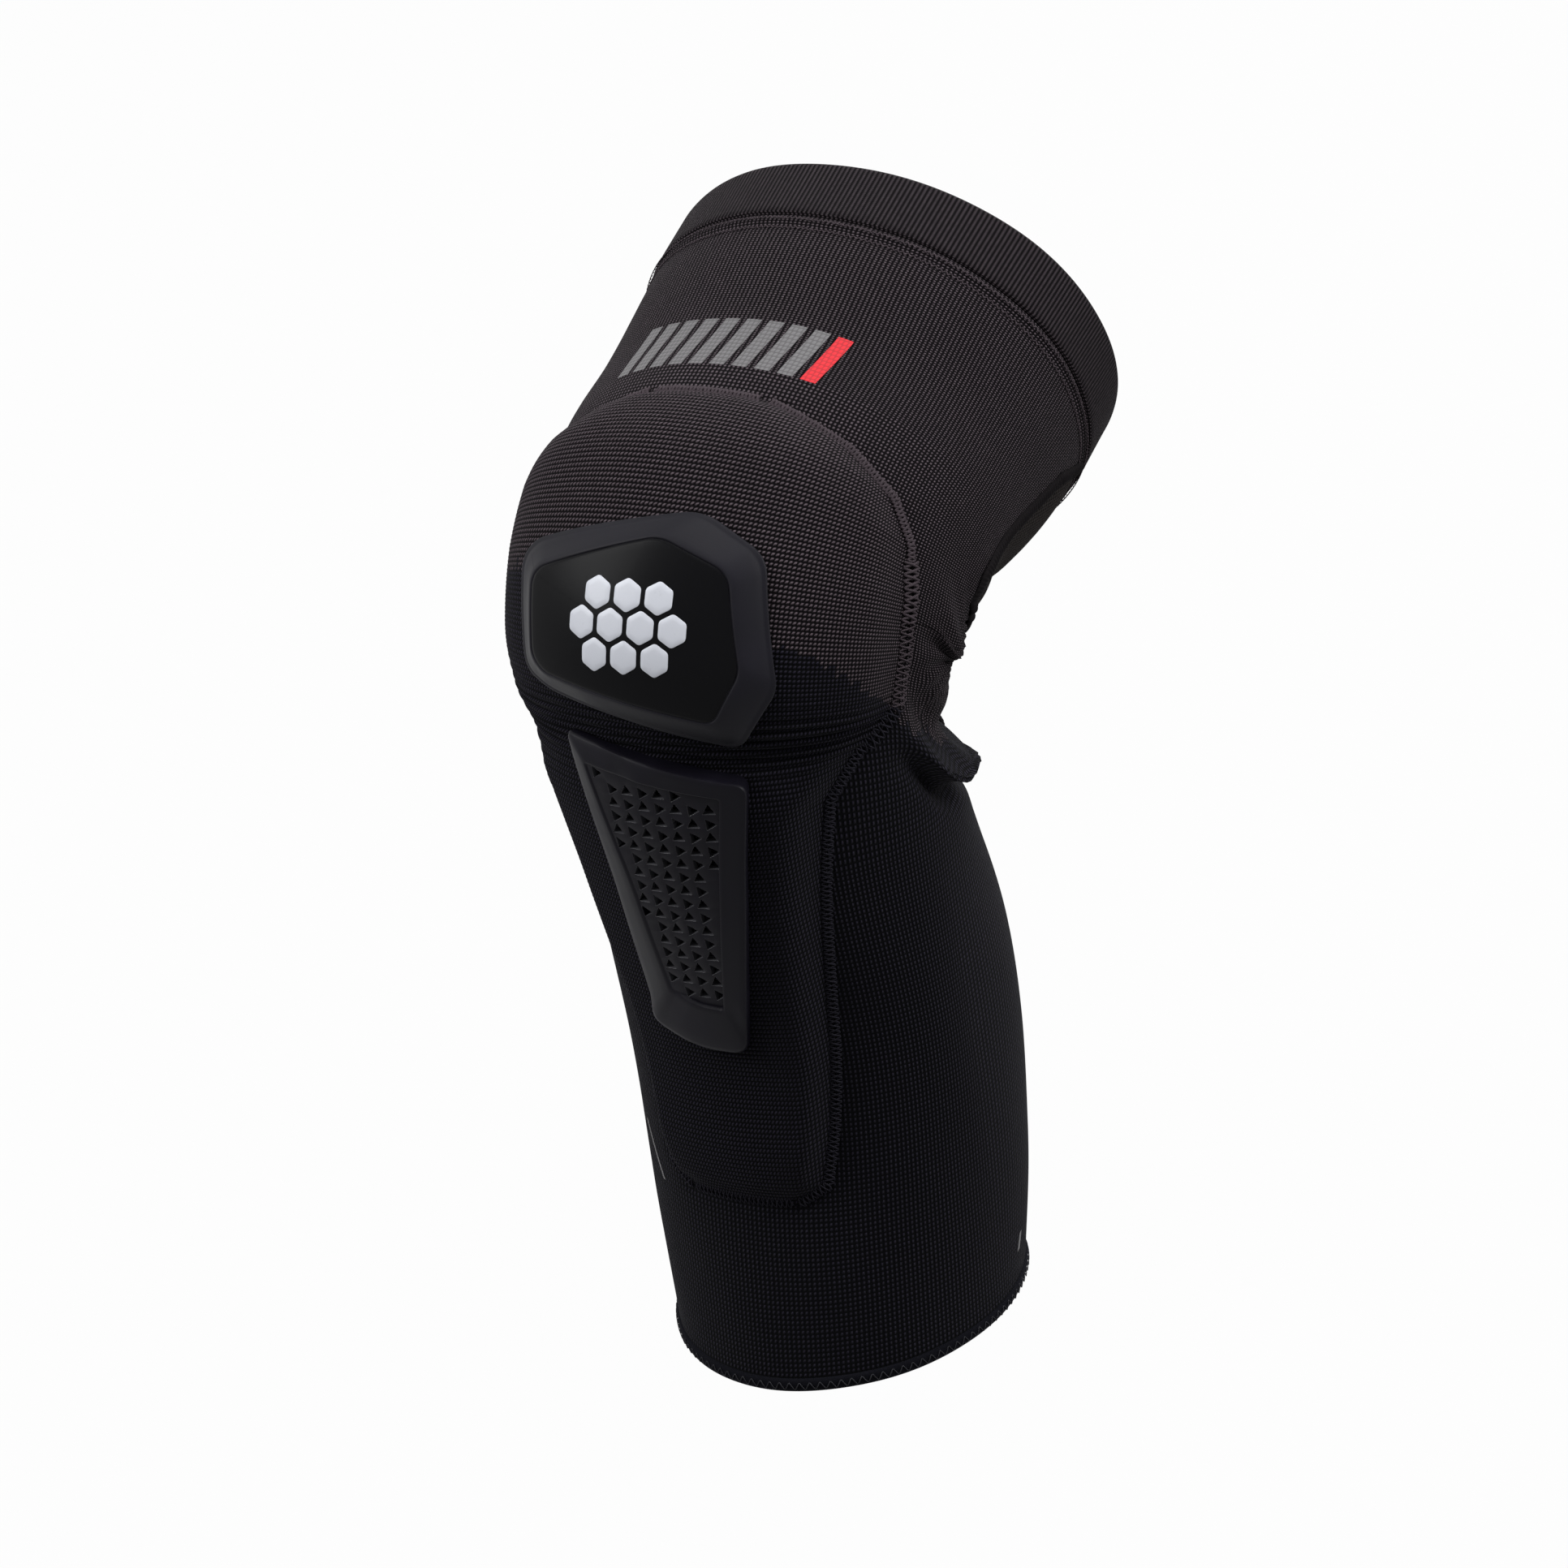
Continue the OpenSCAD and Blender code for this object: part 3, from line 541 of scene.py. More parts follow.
# Knit in two tones. Below the row named by the mesh's edgeRow attribute, in steps of two rows and
# with single stitches astray, it is black. The upper tone has fineRows short stitches in each row.
# The mesh's shade attribute paints shade into it: darker in the creases along the pocket's seam.
def knitMaterial(name, lean, tight, deep, fineRows=1.0, upper=charcoal, lower=black, sheen=0.02):
    g = Graph(name)
    x, y = stitchPlace(g, lean)
    row = g.math("FLOOR", y)
    chance = g.random(g.math("FLOOR", x), row)
    stepped = g.math("MULTIPLY", g.math("FLOOR", g.math("DIVIDE", g.attribute("edgeRow"), 2.0)), 2.0)
    astray = g.math("MULTIPLY_ADD", g.math("SUBTRACT", chance, 0.5), 0.6, row)
    below = g.math("LESS_THAN", astray, stepped)
    finer = g.math("MULTIPLY_ADD", below, 1.0 - fineRows, fineRows)
    height = stitchHeight(g, x, g.math("MULTIPLY", y, finer), tight)
    yarn, gap = g.blend(below, upper["yarn"], lower["yarn"]), g.blend(below, upper["gap"], lower["gap"])
    fuzz, slow = g.noise(900, 3), g.noise(22, 2)
    # light holds tone that differs at random between stitches and over the knit; it is not lighting.
    light = g.math("MULTIPLY_ADD", chance, 0.25, g.math("MULTIPLY_ADD", slow, 0.3, g.math(
        "MULTIPLY_ADD", fuzz, 0.35, 0.55)))
    # Painted shade: darker where the shade attribute is high, in the pocket's seams.
    light = g.math("MULTIPLY", light, g.math("MULTIPLY_ADD", g.attribute("shade"), -0.7, 1.0))
    colour = g.blend(g.step(height, 0.12, 0.72), gap, g.scaled(yarn, light))
    g.bump(g.math("MULTIPLY_ADD", fuzz, 0.15, height), deep)
    return g.finish(colour, 0.9, 0.05, sheen)


# Spun thread. other is the colour where the mesh's tone attribute is 0.
def threadMaterial(name, colour, other=None):
    g = Graph(name)
    fibre = g.noise(1600, 3)
    if other:
        colour = g.blend(g.attribute("tone"), other, colour)
    g.bump(fibre, 0.08)
    return g.finish(g.scaled(colour, g.math("MULTIPLY_ADD", fibre, 0.9, 0.55)), 0.85, 0.05)


# Satin moulding with a fine grain and faint rubbed patches. bloom is a weak sheen at grazing angles.
def mouldedMaterial(name, colour, rough, grain, specular=0.4, bloom=0.0):
    g = Graph(name)
    fine, patch = g.noise(2600, 2), g.noise(70, 3)
    g.bump(fine, grain)
    rub = g.step(patch, 0.45, 0.75)
    return g.finish(g.scaled(colour, g.math("MULTIPLY_ADD", rub, 0.25, 0.9)),
                    g.math("MULTIPLY_ADD", rub, 0.1, rough), specular, bloom)


# Gloss with faint upright streaks.
def glossMaterial(name, colour, rough):
    g = Graph(name)
    upright = g.add("ShaderNodeMapping")
    upright.inputs["Scale"].default_value = (1, 1, 0.06)
    g.put(upright.inputs[0], g.add("ShaderNodeTexCoord").outputs["Object"])
    streak = g.noise(1400, 3, upright.outputs[0])
    g.bump(g.noise(45, 1), 0.05, 0.5)
    return g.finish(g.scaled(colour, g.math("MULTIPLY_ADD", streak, 0.6, 0.7)),
                    g.math("MULTIPLY_ADD", g.step(streak, 0.6, 0.8), 0.12, rough), 0.05, 0.05)


# Open mesh: rows of small round holes, every second row shifted by half a hole. The holes are near black: the
# dark knit inside with painted shade over it.
def meshMaterial(name, yarnColour, shadedInsideColour):
    g = Graph(name)
    x, y = g.uv()
    odd = g.math("MODULO", g.math("FLOOR", y), 2.0)
    dx = g.math("SUBTRACT", g.math("FRACT", g.math("MULTIPLY_ADD", odd, 0.5, x)), 0.5)
    dy = g.math("SUBTRACT", g.math("FRACT", y), 0.5)
    away = g.math("SQRT", g.math("ADD", g.math("MULTIPLY", dx, dx), g.math("MULTIPLY", dy, dy)))
    yarn = g.step(away, 0.2, 0.4)
    g.bump(yarn, 0.4)
    fluff = g.math("MULTIPLY_ADD", g.noise(700, 3), 0.8, 0.6)
    return g.finish(g.blend(yarn, shadedInsideColour, g.scaled(yarnColour, fluff)), 0.95, 0.03)


def foamMaterial(name, colour):     # fine cells
    g = Graph(name)
    cell = g.noise(1500, 2)
    g.bump(cell, 0.2)
    return g.finish(g.scaled(colour, g.math("MULTIPLY_ADD", cell, 0.6, 0.7)), 0.9, 0.2)


# Print with rubbed specks. On fabric the stitches show through.
def printMaterial(name, colour, worn=0.12, rough=0.55, fabric=True):
    g = Graph(name)
    rub = g.step(g.noise(420, 4), 0.62, 0.78)
    if fabric:
        height = stitchHeight(g, *stitchPlace(g, -0.3), (0.7, 0.6))
        g.bump(height, 0.12)
        colour = g.blend(g.step(height, 0.0, 0.5), g.scaled(colour, 0.6), colour)
    else:
        g.bump(g.noise(900, 2), 0.02)
    shade = g.math("MULTIPLY_ADD", rub, -worn, 1.0)
    return g.finish(g.scaled(colour, shade), rough, 0.3)


materials = {
    "sleeve": knitMaterial("fine two tone knit", -0.15, (1.3, 0.75), 0.5, 2.0, upper=sleeveCharcoal),
    "pocket": knitMaterial("pocket two tone knit", -0.5, (0.85, 0.65), 0.45, lower=pocketBlack),
    "seamThread": threadMaterial("pocket thread", (0.05, 0.04, 0.046, 1), (0.0175, 0.0165, 0.0225, 1)),
    "hemThread": threadMaterial("hem thread", (0.04, 0.04, 0.046, 1)),
    "binding": threadMaterial("ribbed binding", (0.0065, 0.0055, 0.0062, 1)),
    "hem": threadMaterial("hem binding", (0.005, 0.005, 0.0075, 1)),
    "mesh": meshMaterial("open mesh", (0.026, 0.022, 0.0215, 1), (0.001, 0.001, 0.001, 1)),
    "moulded": mouldedMaterial("satin moulding", (0.006, 0.0055, 0.009, 1), 0.48, 0.02, 0.1, bloom=0.05),
    "plate": mouldedMaterial("plate moulding", (0.0045, 0.004, 0.007, 1), 0.42, 0.02, 0.09),
    # Vent walls and their rounded rims: lighter than the plate, a painted highlight; their gloss is real.
    "ventWallHighlight": mouldedMaterial("vent wall with painted highlight", (0.07, 0.07, 0.078, 1), 0.2, 0.01, 0.9),
    "gloss": glossMaterial("gloss facet", (0.001, 0.001, 0.0017, 1), 0.3),
    "mark": printMaterial("light grey mark", (0.62, 0.64, 0.7, 1), 0.1, 0.35, fabric=False),
    "greyPrint": printMaterial("grey print", (0.13, 0.126, 0.131, 1)),
    "redPrint": printMaterial("red print", (0.6, 0.012, 0.022, 1)),
    "foam": foamMaterial("impact foam", (0.09, 0.09, 0.095, 1)),
    "silicone": mouldedMaterial("silicone grip", (0.1, 0.1, 0.1, 1), 0.35, 0.05),
}


def dress(piece, material):
    piece.data.materials.clear()
    piece.data.materials.append(materials[material])
    return piece


# Knit columns and rows, for the pieces' own UV maps
knit = {
    "calfColumns": 234, "thighColumns": 306, "pocketColumns": 350,
    "frontHalf": 70,        # degrees to each side of the front that keep the thigh's columns
    "widenOver": 0.6,       # stations over which the other columns are knitted in
    "rowPitch": 1.5, "bendRows": 46,
    "foldFrom": 0.82, "foldTo": 1.66, "foldEven": 0.25,     # stations where rows follow the folds
}
# Angle and station of the line where charcoal turns black.
toneLine = np.array([[-180, 0.92], [-110, 0.94], [-86, 1.05], [-72, 1.2], [-56, 1.36], [-46, 1.44],
                     [-38, 1.46], [35, 1.34], [45, 1.298], [56, 1.232], [72, 1.118], [85, 1.02],
                     [98, 0.955], [112, 0.935], [180, 0.92]])


def toneStation(t):
    return np.interp(signedAngle(t), toneLine[:, 0], toneLine[:, 1])


def levelRow(u):        # number of rows up to station u where nothing is folded
    return (leg["shinLength"] * np.minimum(u, 1) / knit["rowPitch"] + knit["bendRows"] * clip(u - 1)
            + leg["thighLength"] * np.maximum(u - 2, 0) / knit["rowPitch"])


# Rows lie nearly evenly along the folded knit: the share of a column's length up to each station,
# tabled over stations and angles.
foldU, foldT = np.linspace(knit["foldFrom"], knit["foldTo"], 260), np.linspace(-180, 180, 181)
steps = np.linalg.norm(np.diff(fabricPoint(foldU[:, None], foldT[None]), axis=0), axis=2)
foldShare = np.concatenate([np.zeros((1, len(foldT))), np.cumsum(steps, axis=0)])
foldShare = ((1 - knit["foldEven"]) * foldShare / foldShare[-1]
             + knit["foldEven"] * np.linspace(0, 1, len(foldU))[:, None])


def sleeveRow(u, t):    # read from the table between four neighbours
    u, t = np.broadcast_arrays(u, signedAngle(t))
    i = clip((u - foldU[0]) / (foldU[-1] - foldU[0])) * (len(foldU) - 1)
    j = (t - foldT[0]) / (foldT[1] - foldT[0])
    a, b = np.minimum(i.astype(int), len(foldU) - 2), np.minimum(j.astype(int), len(foldT) - 2)
    i, j = i - a, j - b
    near, far = (mix(foldShare[a, c], foldShare[a + 1, c], i) for c in (b, b + 1))
    share = mix(near, far, j)
    low, high = levelRow(foldU[0]), levelRow(foldU[-1])
    return np.where((u > foldU[0]) & (u < foldU[-1]), low + (high - low) * share, levelRow(u))


# Columns round the leg, more of them on the thigh than on the calf. A whole number of columns,
# added, is counted out in front of the calf, where the pocket hides the step.
def sleeveColumn(u, t, added):
    half = knit["frontHalf"]
    count = mix(knit["calfColumns"], knit["thighColumns"], ramp(u, 1, knit["widenOver"]))
    held = half / 360 * knit["thighColumns"]
    signed = np.where(t > 180, t - 360, t)
    x = np.where(signed >= 0, held + (signed - half) / 360 * count,
                 added - held + (signed + half) / 360 * count)
    return x + np.where(t > 180, 2 * held + (360 - 2 * half) / 360 * count - added, 0)


# Sleeve: one tube of knit round the calf, open behind the knee where the mesh is sewn in
sleeve = {
    # Station and angle of the edge where the mesh is sewn in.
    "edge": np.array([[0.98, 154], [1.14, 151], [1.24, 146], [1.36, 138], [1.44, 126], [1.52, 112],
                      [1.6, 105], [1.75, 103], [2.2, 106], [2.5, 110], [2.74, 120]]),
    "openFrom": 0.985,
    "front": 90, "rear": 46,        # columns in front of the edge and behind it
    # seamDip sinks the knit into the seam; seamShade is painted shade in that seam.
    "seamDip": (0.8, -0.7, 2), "seamShade": (0.6, 0.7, 1.4),    # degrees beyond the seam, size, half width
    # Humps on the thigh below the cuff: a ridge of doubled knit between two furrows.
    "cuffRidge": [(0.6, -2.6, 1.1), (-0.3, -0.4, 0.7), (-0.2, -5, 0.8)],
    "low": [(0.012, 0.8, 110), (0.8, 1.0, 60), (1.0, splitAt, 36)],     # stations and rows
    "high": [(splitAt, 2, 46), (2, 3 - 0.02, 96)],
}


# Column angles: even steps in front of the mesh's edge and even steps behind it.
def sleeveAngles(u):
    edge = np.interp(u, sleeve["edge"][:, 0], sleeve["edge"][:, 1])[:, None]
    ahead = np.linspace(-1, 1, sleeve["front"] + 1)[None] * edge
    behind = edge + np.linspace(0, 1, sleeve["rear"] + 1)[None, 1:-1] * (360 - 2 * edge)
    return np.concatenate([ahead, behind], 1)


# A bell along the line where the pocket is sewn down.
def besideSeam(u, t, away, size, half, past):
    off = np.abs(t) - reach(np.clip(u, pocket["foot"] + 0.01, pocket["head"] - 0.01)) - away
    return size * bell(off / half) * ((u > pocket["foot"] - past) & (u < pocket["head"] + past))


def cuffRidge(u):
    return sum(hump(leg["thighLength"] * (u - cuffLow), *each) for each in sleeve["cuffRidge"])


def sleevePiece(name, spans, added):
    rows = stackedRows(*spans)
    t = sleeveAngles(rows)
    u = np.repeat(rows[:, None], t.shape[1], 1)
    knitted = np.ones((len(rows) - 1, t.shape[1]), bool)
    knitted[rows[:-1] > sleeve["openFrom"], sleeve["front"]:] = False
    wide = np.concatenate([t, t[:, :1] + 360], 1)
    uv = np.stack([sleeveColumn(rows[:, None], wide, added), sleeveRow(rows[:, None], wide)], -1)
    signed = signedAngle(t)
    points = fabricPoint(u, signed, besideSeam(u, signed, *sleeve["seamDip"], 0.01) + cuffRidge(u))
    # shade is painted shade beside the pocket's seam.
    values = {"edgeRow": sleeveRow(toneStation(signed), signed),
              "shade": besideSeam(u, signed, *sleeve["seamShade"], 0.005)}
    piece = surface(name, points, uv, around=True, keep=knitted, values=values)
    thicken(dress(piece, "sleeve"), leg["knit"])
    return piece


moreColumns = (knit["thighColumns"] - knit["calfColumns"]) * 2 * knit["frontHalf"] / 360
sleeveLow = sleevePiece("sleeve_lower", sleeve["low"], moreColumns)
sleeveHigh = sleevePiece("sleeve_upper", sleeve["high"], 0)
assign(sleeveLow, "low", "black_knit", "calf_sleeve", "knee_sleeve")
assign(sleeveHigh, "high", "charcoal_knit", "thigh_sleeve")
print("sleeve made")


# Pocket over the foam, knitted in heavier rows. The rows are ribs, cosines that fade towards
# the sides, and below the cap there are creases, a sine along the leg that wavers round it.
def pocketPiece(name, start, end):
    first, last = pocketRow(start), pocketRow(end)
    rows = pocketStation(np.linspace(first, last, int(round((last - first) * pocket["stepsPerRow"])) + 1))
    even, k = np.linspace(-1, 1, pocket["columns"]), pocket["edgeShare"]
    share = np.sin(np.pi / 2 * even) * k + even * (1 - k)
    u = np.repeat(rows[:, None], len(share), 1)
    t = share[None] * reach(rows)[:, None]
    side, row = np.abs(share)[None], pocketRow(u)
    inside = smooth((1 - side) / 0.05)
    fade = 1 - pocket["ribLost"] * ramp(side, *pocket["ribFade"])
    ribs = pocket["ribHeight"] * fade * np.cos(2 * np.pi * (row - 0.5)) * inside
    crease = (np.sin(2 * np.pi * row / pocket["creaseRows"] + t / 7 + 1.5 * np.sin(np.radians(t) * 4))
              * hump(u, pocket["creaseHeight"], pocket["creaseAt"], pocket["creaseHalf"]) * inside)
    uv = np.stack([t / 360 * knit["pocketColumns"], row], -1)
    points = coverPoint(u, t, pocketTop(u, t) + ribs + crease)
    # Painted shade in the seam along the pocket's sides and head.
    (sideShadeDepth, sideHalf), (headShadeDepth, headHalf) = pocket["sideShade"], pocket["headShade"]
    shade = np.maximum(hump(side, sideShadeDepth, 1, sideHalf), hump(u, headShadeDepth, pocket["head"], headHalf))
    piece = surface(name, points, uv, values={"edgeRow": pocketRow(toneStation(t)), "shade": shade})
    thicken(dress(piece, "pocket"), leg["cover"])
    return piece


# Foam inside the pocket: stations, share of the pocket's width, and clearances in millimetres.
foam = {"shin": (0.31, 0.97), "knee": (1.12, 1.89), "wide": 0.93, "rows": 50, "columns": 36,
        "below": 0.1, "above": 0.15, "least": 0.25}


def foamPiece(name, span):
    rows, share = np.linspace(*span, foam["rows"]), np.linspace(-foam["wide"], foam["wide"], foam["columns"])
    u, t = np.repeat(rows[:, None], foam["columns"], 1), share[None] * reach(rows)[:, None]
    top = np.maximum(pocketTop(u, t) - leg["cover"] - leg["seat"] - foam["below"], foam["least"])
    return dress(slab(name, legPoint(u, t, top), legPoint(u, t, foam["above"]), sharp=50), "foam")


pocketLow = pocketPiece("pocket_lower", pocket["foot"], splitAt)
pocketHigh = pocketPiece("pocket_upper", splitAt, pocket["head"])
assign(pocketLow, "low", "black_knit", "shin_pocket")
assign(pocketHigh, "high", "charcoal_knit", "knee_pocket")
shinFoam, kneeFoam = foamPiece("shin_foam", foam["shin"]), foamPiece("knee_foam", foam["knee"])
assign(shinFoam, "low", "foam", "shin_pad")
assign(kneeFoam, "high", "foam", "knee_pad")
print("pockets made")

# Threads. A stitch is its pitch, its width and its thread's thickness, in millimetres.
thread = {
    "low": (3.0, 3.4, 0.5), "high": (3.6, 5.2, 0.85), "top": (2.4, 2.6, 0.45),  # shin, knee's sides and top
    "hem": (3.1, 2.3, 0.34), "cuff": (1.7, 1.0, 0.34),
    "spacing": 0.3,         # between points along a line
    "lift": 0.55,           # of the pocket's thread above the sleeve
    "foot": (0.296, 17), "bendFrom": 1.02, "topFrom": 1.62, "head": (1.914, 14),    # stations, half widths
}


# Evenly spaced points along a line of stations and angles, with the surface's normal, the way
# across the line and the tone beside each. lift gives the height above the bare sleeve.
def seamLine(u, t, lift, place, spacing):
    rough = place(u, t, lift(u, t))
    run = np.concatenate([[0], np.cumsum(np.linalg.norm(np.diff(rough, axis=0), axis=1))]) * 1000
    s = np.linspace(0, run[-1], int(run[-1] / spacing) + 1)
    u, t = np.interp(s, run, u), np.interp(s, run, t)
    here = place(u, t, lift(u, t))
    tone = clip((u - toneStation(t)) / 0.01 + 0.5)
    up = place(u, t, lift(u, t) + 1) - here
    up /= np.linalg.norm(up, axis=1, keepdims=True)
    ahead = np.gradient(here, axis=0)
    ahead /= np.linalg.norm(ahead, axis=1, keepdims=True) + 1e-12
    return s, here, up, np.cross(up, ahead), tone


# Threads that zigzag across a line: sideways a sine with its peaks drawn out (arc sine of a sine
# just under 1), lifted by a squared cosine where they cross.
def zigzag(line, pitch, wide, thick, phases=(0.0, 0.5)):
    s, here, up, across, tone = line
    out = []
    for k, phase in enumerate(phases):
        a = 2 * np.pi * (s / pitch + phase)
        side = wide / 2 * (2 / np.pi) * np.arcsin(0.94 * np.sin(a)) * 1.28
        over = thick * (0.1 + (0.45 + 0.35 * k) * np.cos(a) ** 2)
        out.append((here + (across * side[:, None] + up * over[:, None]) / 1000, up, tone))
    return out


def seamSides(uFrom, uTo, size):    # both sides of the pocket's edge
    u = np.linspace(uFrom, uTo, 400)
    return [(u, side * reach(u), size) for side in (1, -1)]


def seamEnd(station, half, size):   # across the pocket's foot or head
    t = np.linspace(-half, half, 120)
    return [(0 * t + station, t, size)]


def pocketThreads(name, spans, how, node):
    paths = []
    for u, t, size in spans:
        line = seamLine(u, t, lambda a, b: thread["lift"] + 0 * a, coverPoint, thread["spacing"])
        paths += zigzag(line, *thread[size])
    assign(dress(tubes(name, paths, thread[how][2] / 2000), "seamThread"), how, "black_thread", node)


lowSpans = (seamSides(thread["foot"][0], thread["bendFrom"], "low")
            + seamSides(thread["bendFrom"], splitAt, "high") + seamEnd(*thread["foot"], "low"))
highSpans = (seamSides(splitAt, thread["topFrom"], "high")
             + seamSides(thread["topFrom"], thread["head"][0], "top") + seamEnd(*thread["head"], "top"))
pocketThreads("pocket_thread_lower", lowSpans, "low", "shin_pocket_stitching")
pocketThreads("pocket_thread_upper", highSpans, "high", "knee_pocket_stitching")

# Hem and cuff. Heights are in millimetres above the bare sleeve.
hemBand = {
    # Corners of the binding's rounded section, from inside over the lower edge: station and height.
    "section": np.array([[0.0215, -1.7], [0.018, -2.2], [0.006, -2.2], [0.0015, -1.9], [0.0, -0.9],
                         [0.0015, 0.1], [0.005, 0.6], [0.011, 0.8], [0.017, 0.75], [0.0205, 0.5],
                         [0.0215, -0.1]]),
    "thread": [(0.0115, 0.85)],     # station and height of the zigzag
}
cuffBand = {
    "outside": 1.0, "inside": -2.6,
    "threads": [(2.6, 0.95), (5.4, 0.1)],       # millimetres below the band, and height
    "grip": (cuffLow + 0.08, 2.95, -3.0, -3.9),     # the silicone band inside: stations, heights
}
perThigh = 1 / leg["thighLength"]


# A closed band: the section's [station, height] corners carried round the leg. It keeps to the
# upper tone.
def band(name, section, material, columns):
    t = np.linspace(-180, 180, columns + 1)[None]
    steps = np.diff(np.concatenate([section, section[:1]]), axis=0) * [leg["shinLength"], 1]
    run = np.concatenate([[0], np.cumsum(np.hypot(*steps.T))])[:, None]
    points = fabricPoint(section[:, :1], t[:, :-1], section[:, 1:])
    uv = np.stack(np.broadcast_arrays(t / 360 * knit["thighColumns"], run / knit["rowPitch"]), -1)
    return dress(surface(name, points, uv, True, True, values={"edgeRow": -1000.0}), material)


# Section of a folded band: up the outside, over a round edge and down the inside.
def foldedSection(low, high, outside, inside, perMillimetre, steps=10):
    radius = (outside - inside) / 2
    top = high - radius * perMillimetre
    outer = np.stack([np.linspace(low, top, steps), np.full(steps, outside)], -1)
    a = np.linspace(np.pi / 2, -np.pi / 2, steps)[1:-1]
    middle = (outside + inside) / 2
    edge = np.stack([top + radius * perMillimetre * np.cos(a), middle + radius * np.sin(a)], -1)
    inner = np.stack([np.linspace(top, low, steps), np.full(steps, inside)], -1)
    return np.concatenate([outer, edge, inner])


def ringThreads(name, lines, stitch, material, how, node):
    paths = []
    t = np.linspace(-180, 180, 721)
    for station, height in lines:
        line = seamLine(0 * t + station, t, lambda a, b: height + 0 * a, fabricPoint, thread["spacing"])
        paths += zigzag(line, *stitch, phases=(0.0,))
    assign(dress(tubes(name, paths, stitch[2] / 2000, 5), material), how, "black_thread", node)


cuffSection = foldedSection(cuffLow, 3, cuffBand["outside"], cuffBand["inside"], perThigh)
gripSection = foldedSection(*cuffBand["grip"], perThigh, 5)
assign(band("hem_binding", hemBand["section"], "hem", 240), "shin", "black_knit", "hem_band")
assign(band("cuff_band", cuffSection, "sleeve", 220), "high", "charcoal_knit", "top_cuff")
cuffLines = [(cuffLow - below * perThigh, height) for below, height in cuffBand["threads"]]
ringThreads("hem_thread", hemBand["thread"], thread["hem"], "hemThread", "shin", "hem_stitching")
ringThreads("cuff_thread", cuffLines, thread["cuff"], "seamThread", "high", "cuff_stitching")
assign(band("cuff_grip_band", gripSection, "silicone", 120), "high", "silicone", "cuff_grip")
dress(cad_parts["hem_grip"], "silicone")
print("hem and cuff made")

# Ventilated mesh behind the knee and its bound edge
rearMesh = {
    # Station and angle of its edge on the calf. Above that it is this many degrees in front of the
    # sleeve's edge.
    "foot": [[0.775, 153], [0.8, 149], [0.9, 148], [0.96, 150], [1.0, 152]], "lap": 2,
    "low": [(0.78, 1, 90), (1, splitAt, 40)], "high": [(splitAt, cuffLow, 90)],     # stations and rows
    "columns": 61, "thick": 0.8,
    "pitch": 1.5, "holes": 250,     # millimetres between rows of holes, and holes round the leg
    "lift": 0.9, "liftTo": 1.02, "liftOver": 0.05,      # of its lower end, which lies on the calf's knit
    "bindWide": 4.2, "bindThick": 1.2, "bindUnder": 0.25, "bindColumns": 9, "bindFrom": 0.785,
    "bindLift": 0.3, "ribPitch": 1.25, "ribDepth": 0.35, "spacing": 0.32,
}
rearEdge = np.concatenate([rearMesh["foot"], sleeve["edge"][1:] - [0, rearMesh["lap"]]])


def meshAngle(u):
    return np.interp(u, rearEdge[:, 0], rearEdge[:, 1])


def onMesh(u):
    return rearMesh["lift"] * smooth((rearMesh["liftTo"] - u) / rearMesh["liftOver"])


def meshPiece(name, spans):
    rows, share = stackedRows(*spans), np.linspace(0, 1, rearMesh["columns"])
    edge = meshAngle(rows)[:, None]
    t = edge + share[None] * (360 - 2 * edge)
    u = np.repeat(rows[:, None], len(share), 1)
    uv = np.stack([t / 360 * rearMesh["holes"], sideLength(u) / rearMesh["pitch"]], -1)
    piece = surface(name, fabricPoint(u, signedAngle(t), onMesh(u)), uv)
    thicken(dress(piece, "mesh"), rearMesh["thick"])
    return piece


meshLow = meshPiece("rear_mesh_lower", rearMesh["low"])
meshHigh = meshPiece("rear_mesh_upper", rearMesh["high"])
assign(meshLow, "low", "dark_mesh", "calf_rear_mesh", "knee_rear_mesh")
assign(meshHigh, "high", "dark_mesh", "thigh_rear_mesh")


# Binding with a domed, ribbed face carried along lines: its height falls off as a half ellipse to
# both sides and ripples along the line.
def bindingPiece(name, lines):
    share, stacks = np.linspace(-1, 1, rearMesh["bindColumns"]), []
    dome = rearMesh["bindThick"] * np.sqrt(1 - share**2)[None]
    for s, here, up, side, _ in lines:
        ripple = 0.5 - 0.5 * np.cos(2 * np.pi * s / rearMesh["ribPitch"])
        high = dome * (1 - rearMesh["ribDepth"] * ripple)[:, None]
        flat = side[:, None] * (share * rearMesh["bindWide"] / 2)[None, :, None]
        top = here[:, None] + (flat + up[:, None] * high[..., None]) / 1000
        under = here[:, None] + (flat - up[:, None] * rearMesh["bindUnder"]) / 1000
        stacks.append(np.concatenate([top, under[:, ::-1]], 1))
    return dress(rods(name, stacks), "binding")


def bindLine(u, t):
    return seamLine(u, t, lambda a, b: onMesh(a) + rearMesh["bindLift"], fabricPoint, rearMesh["spacing"])


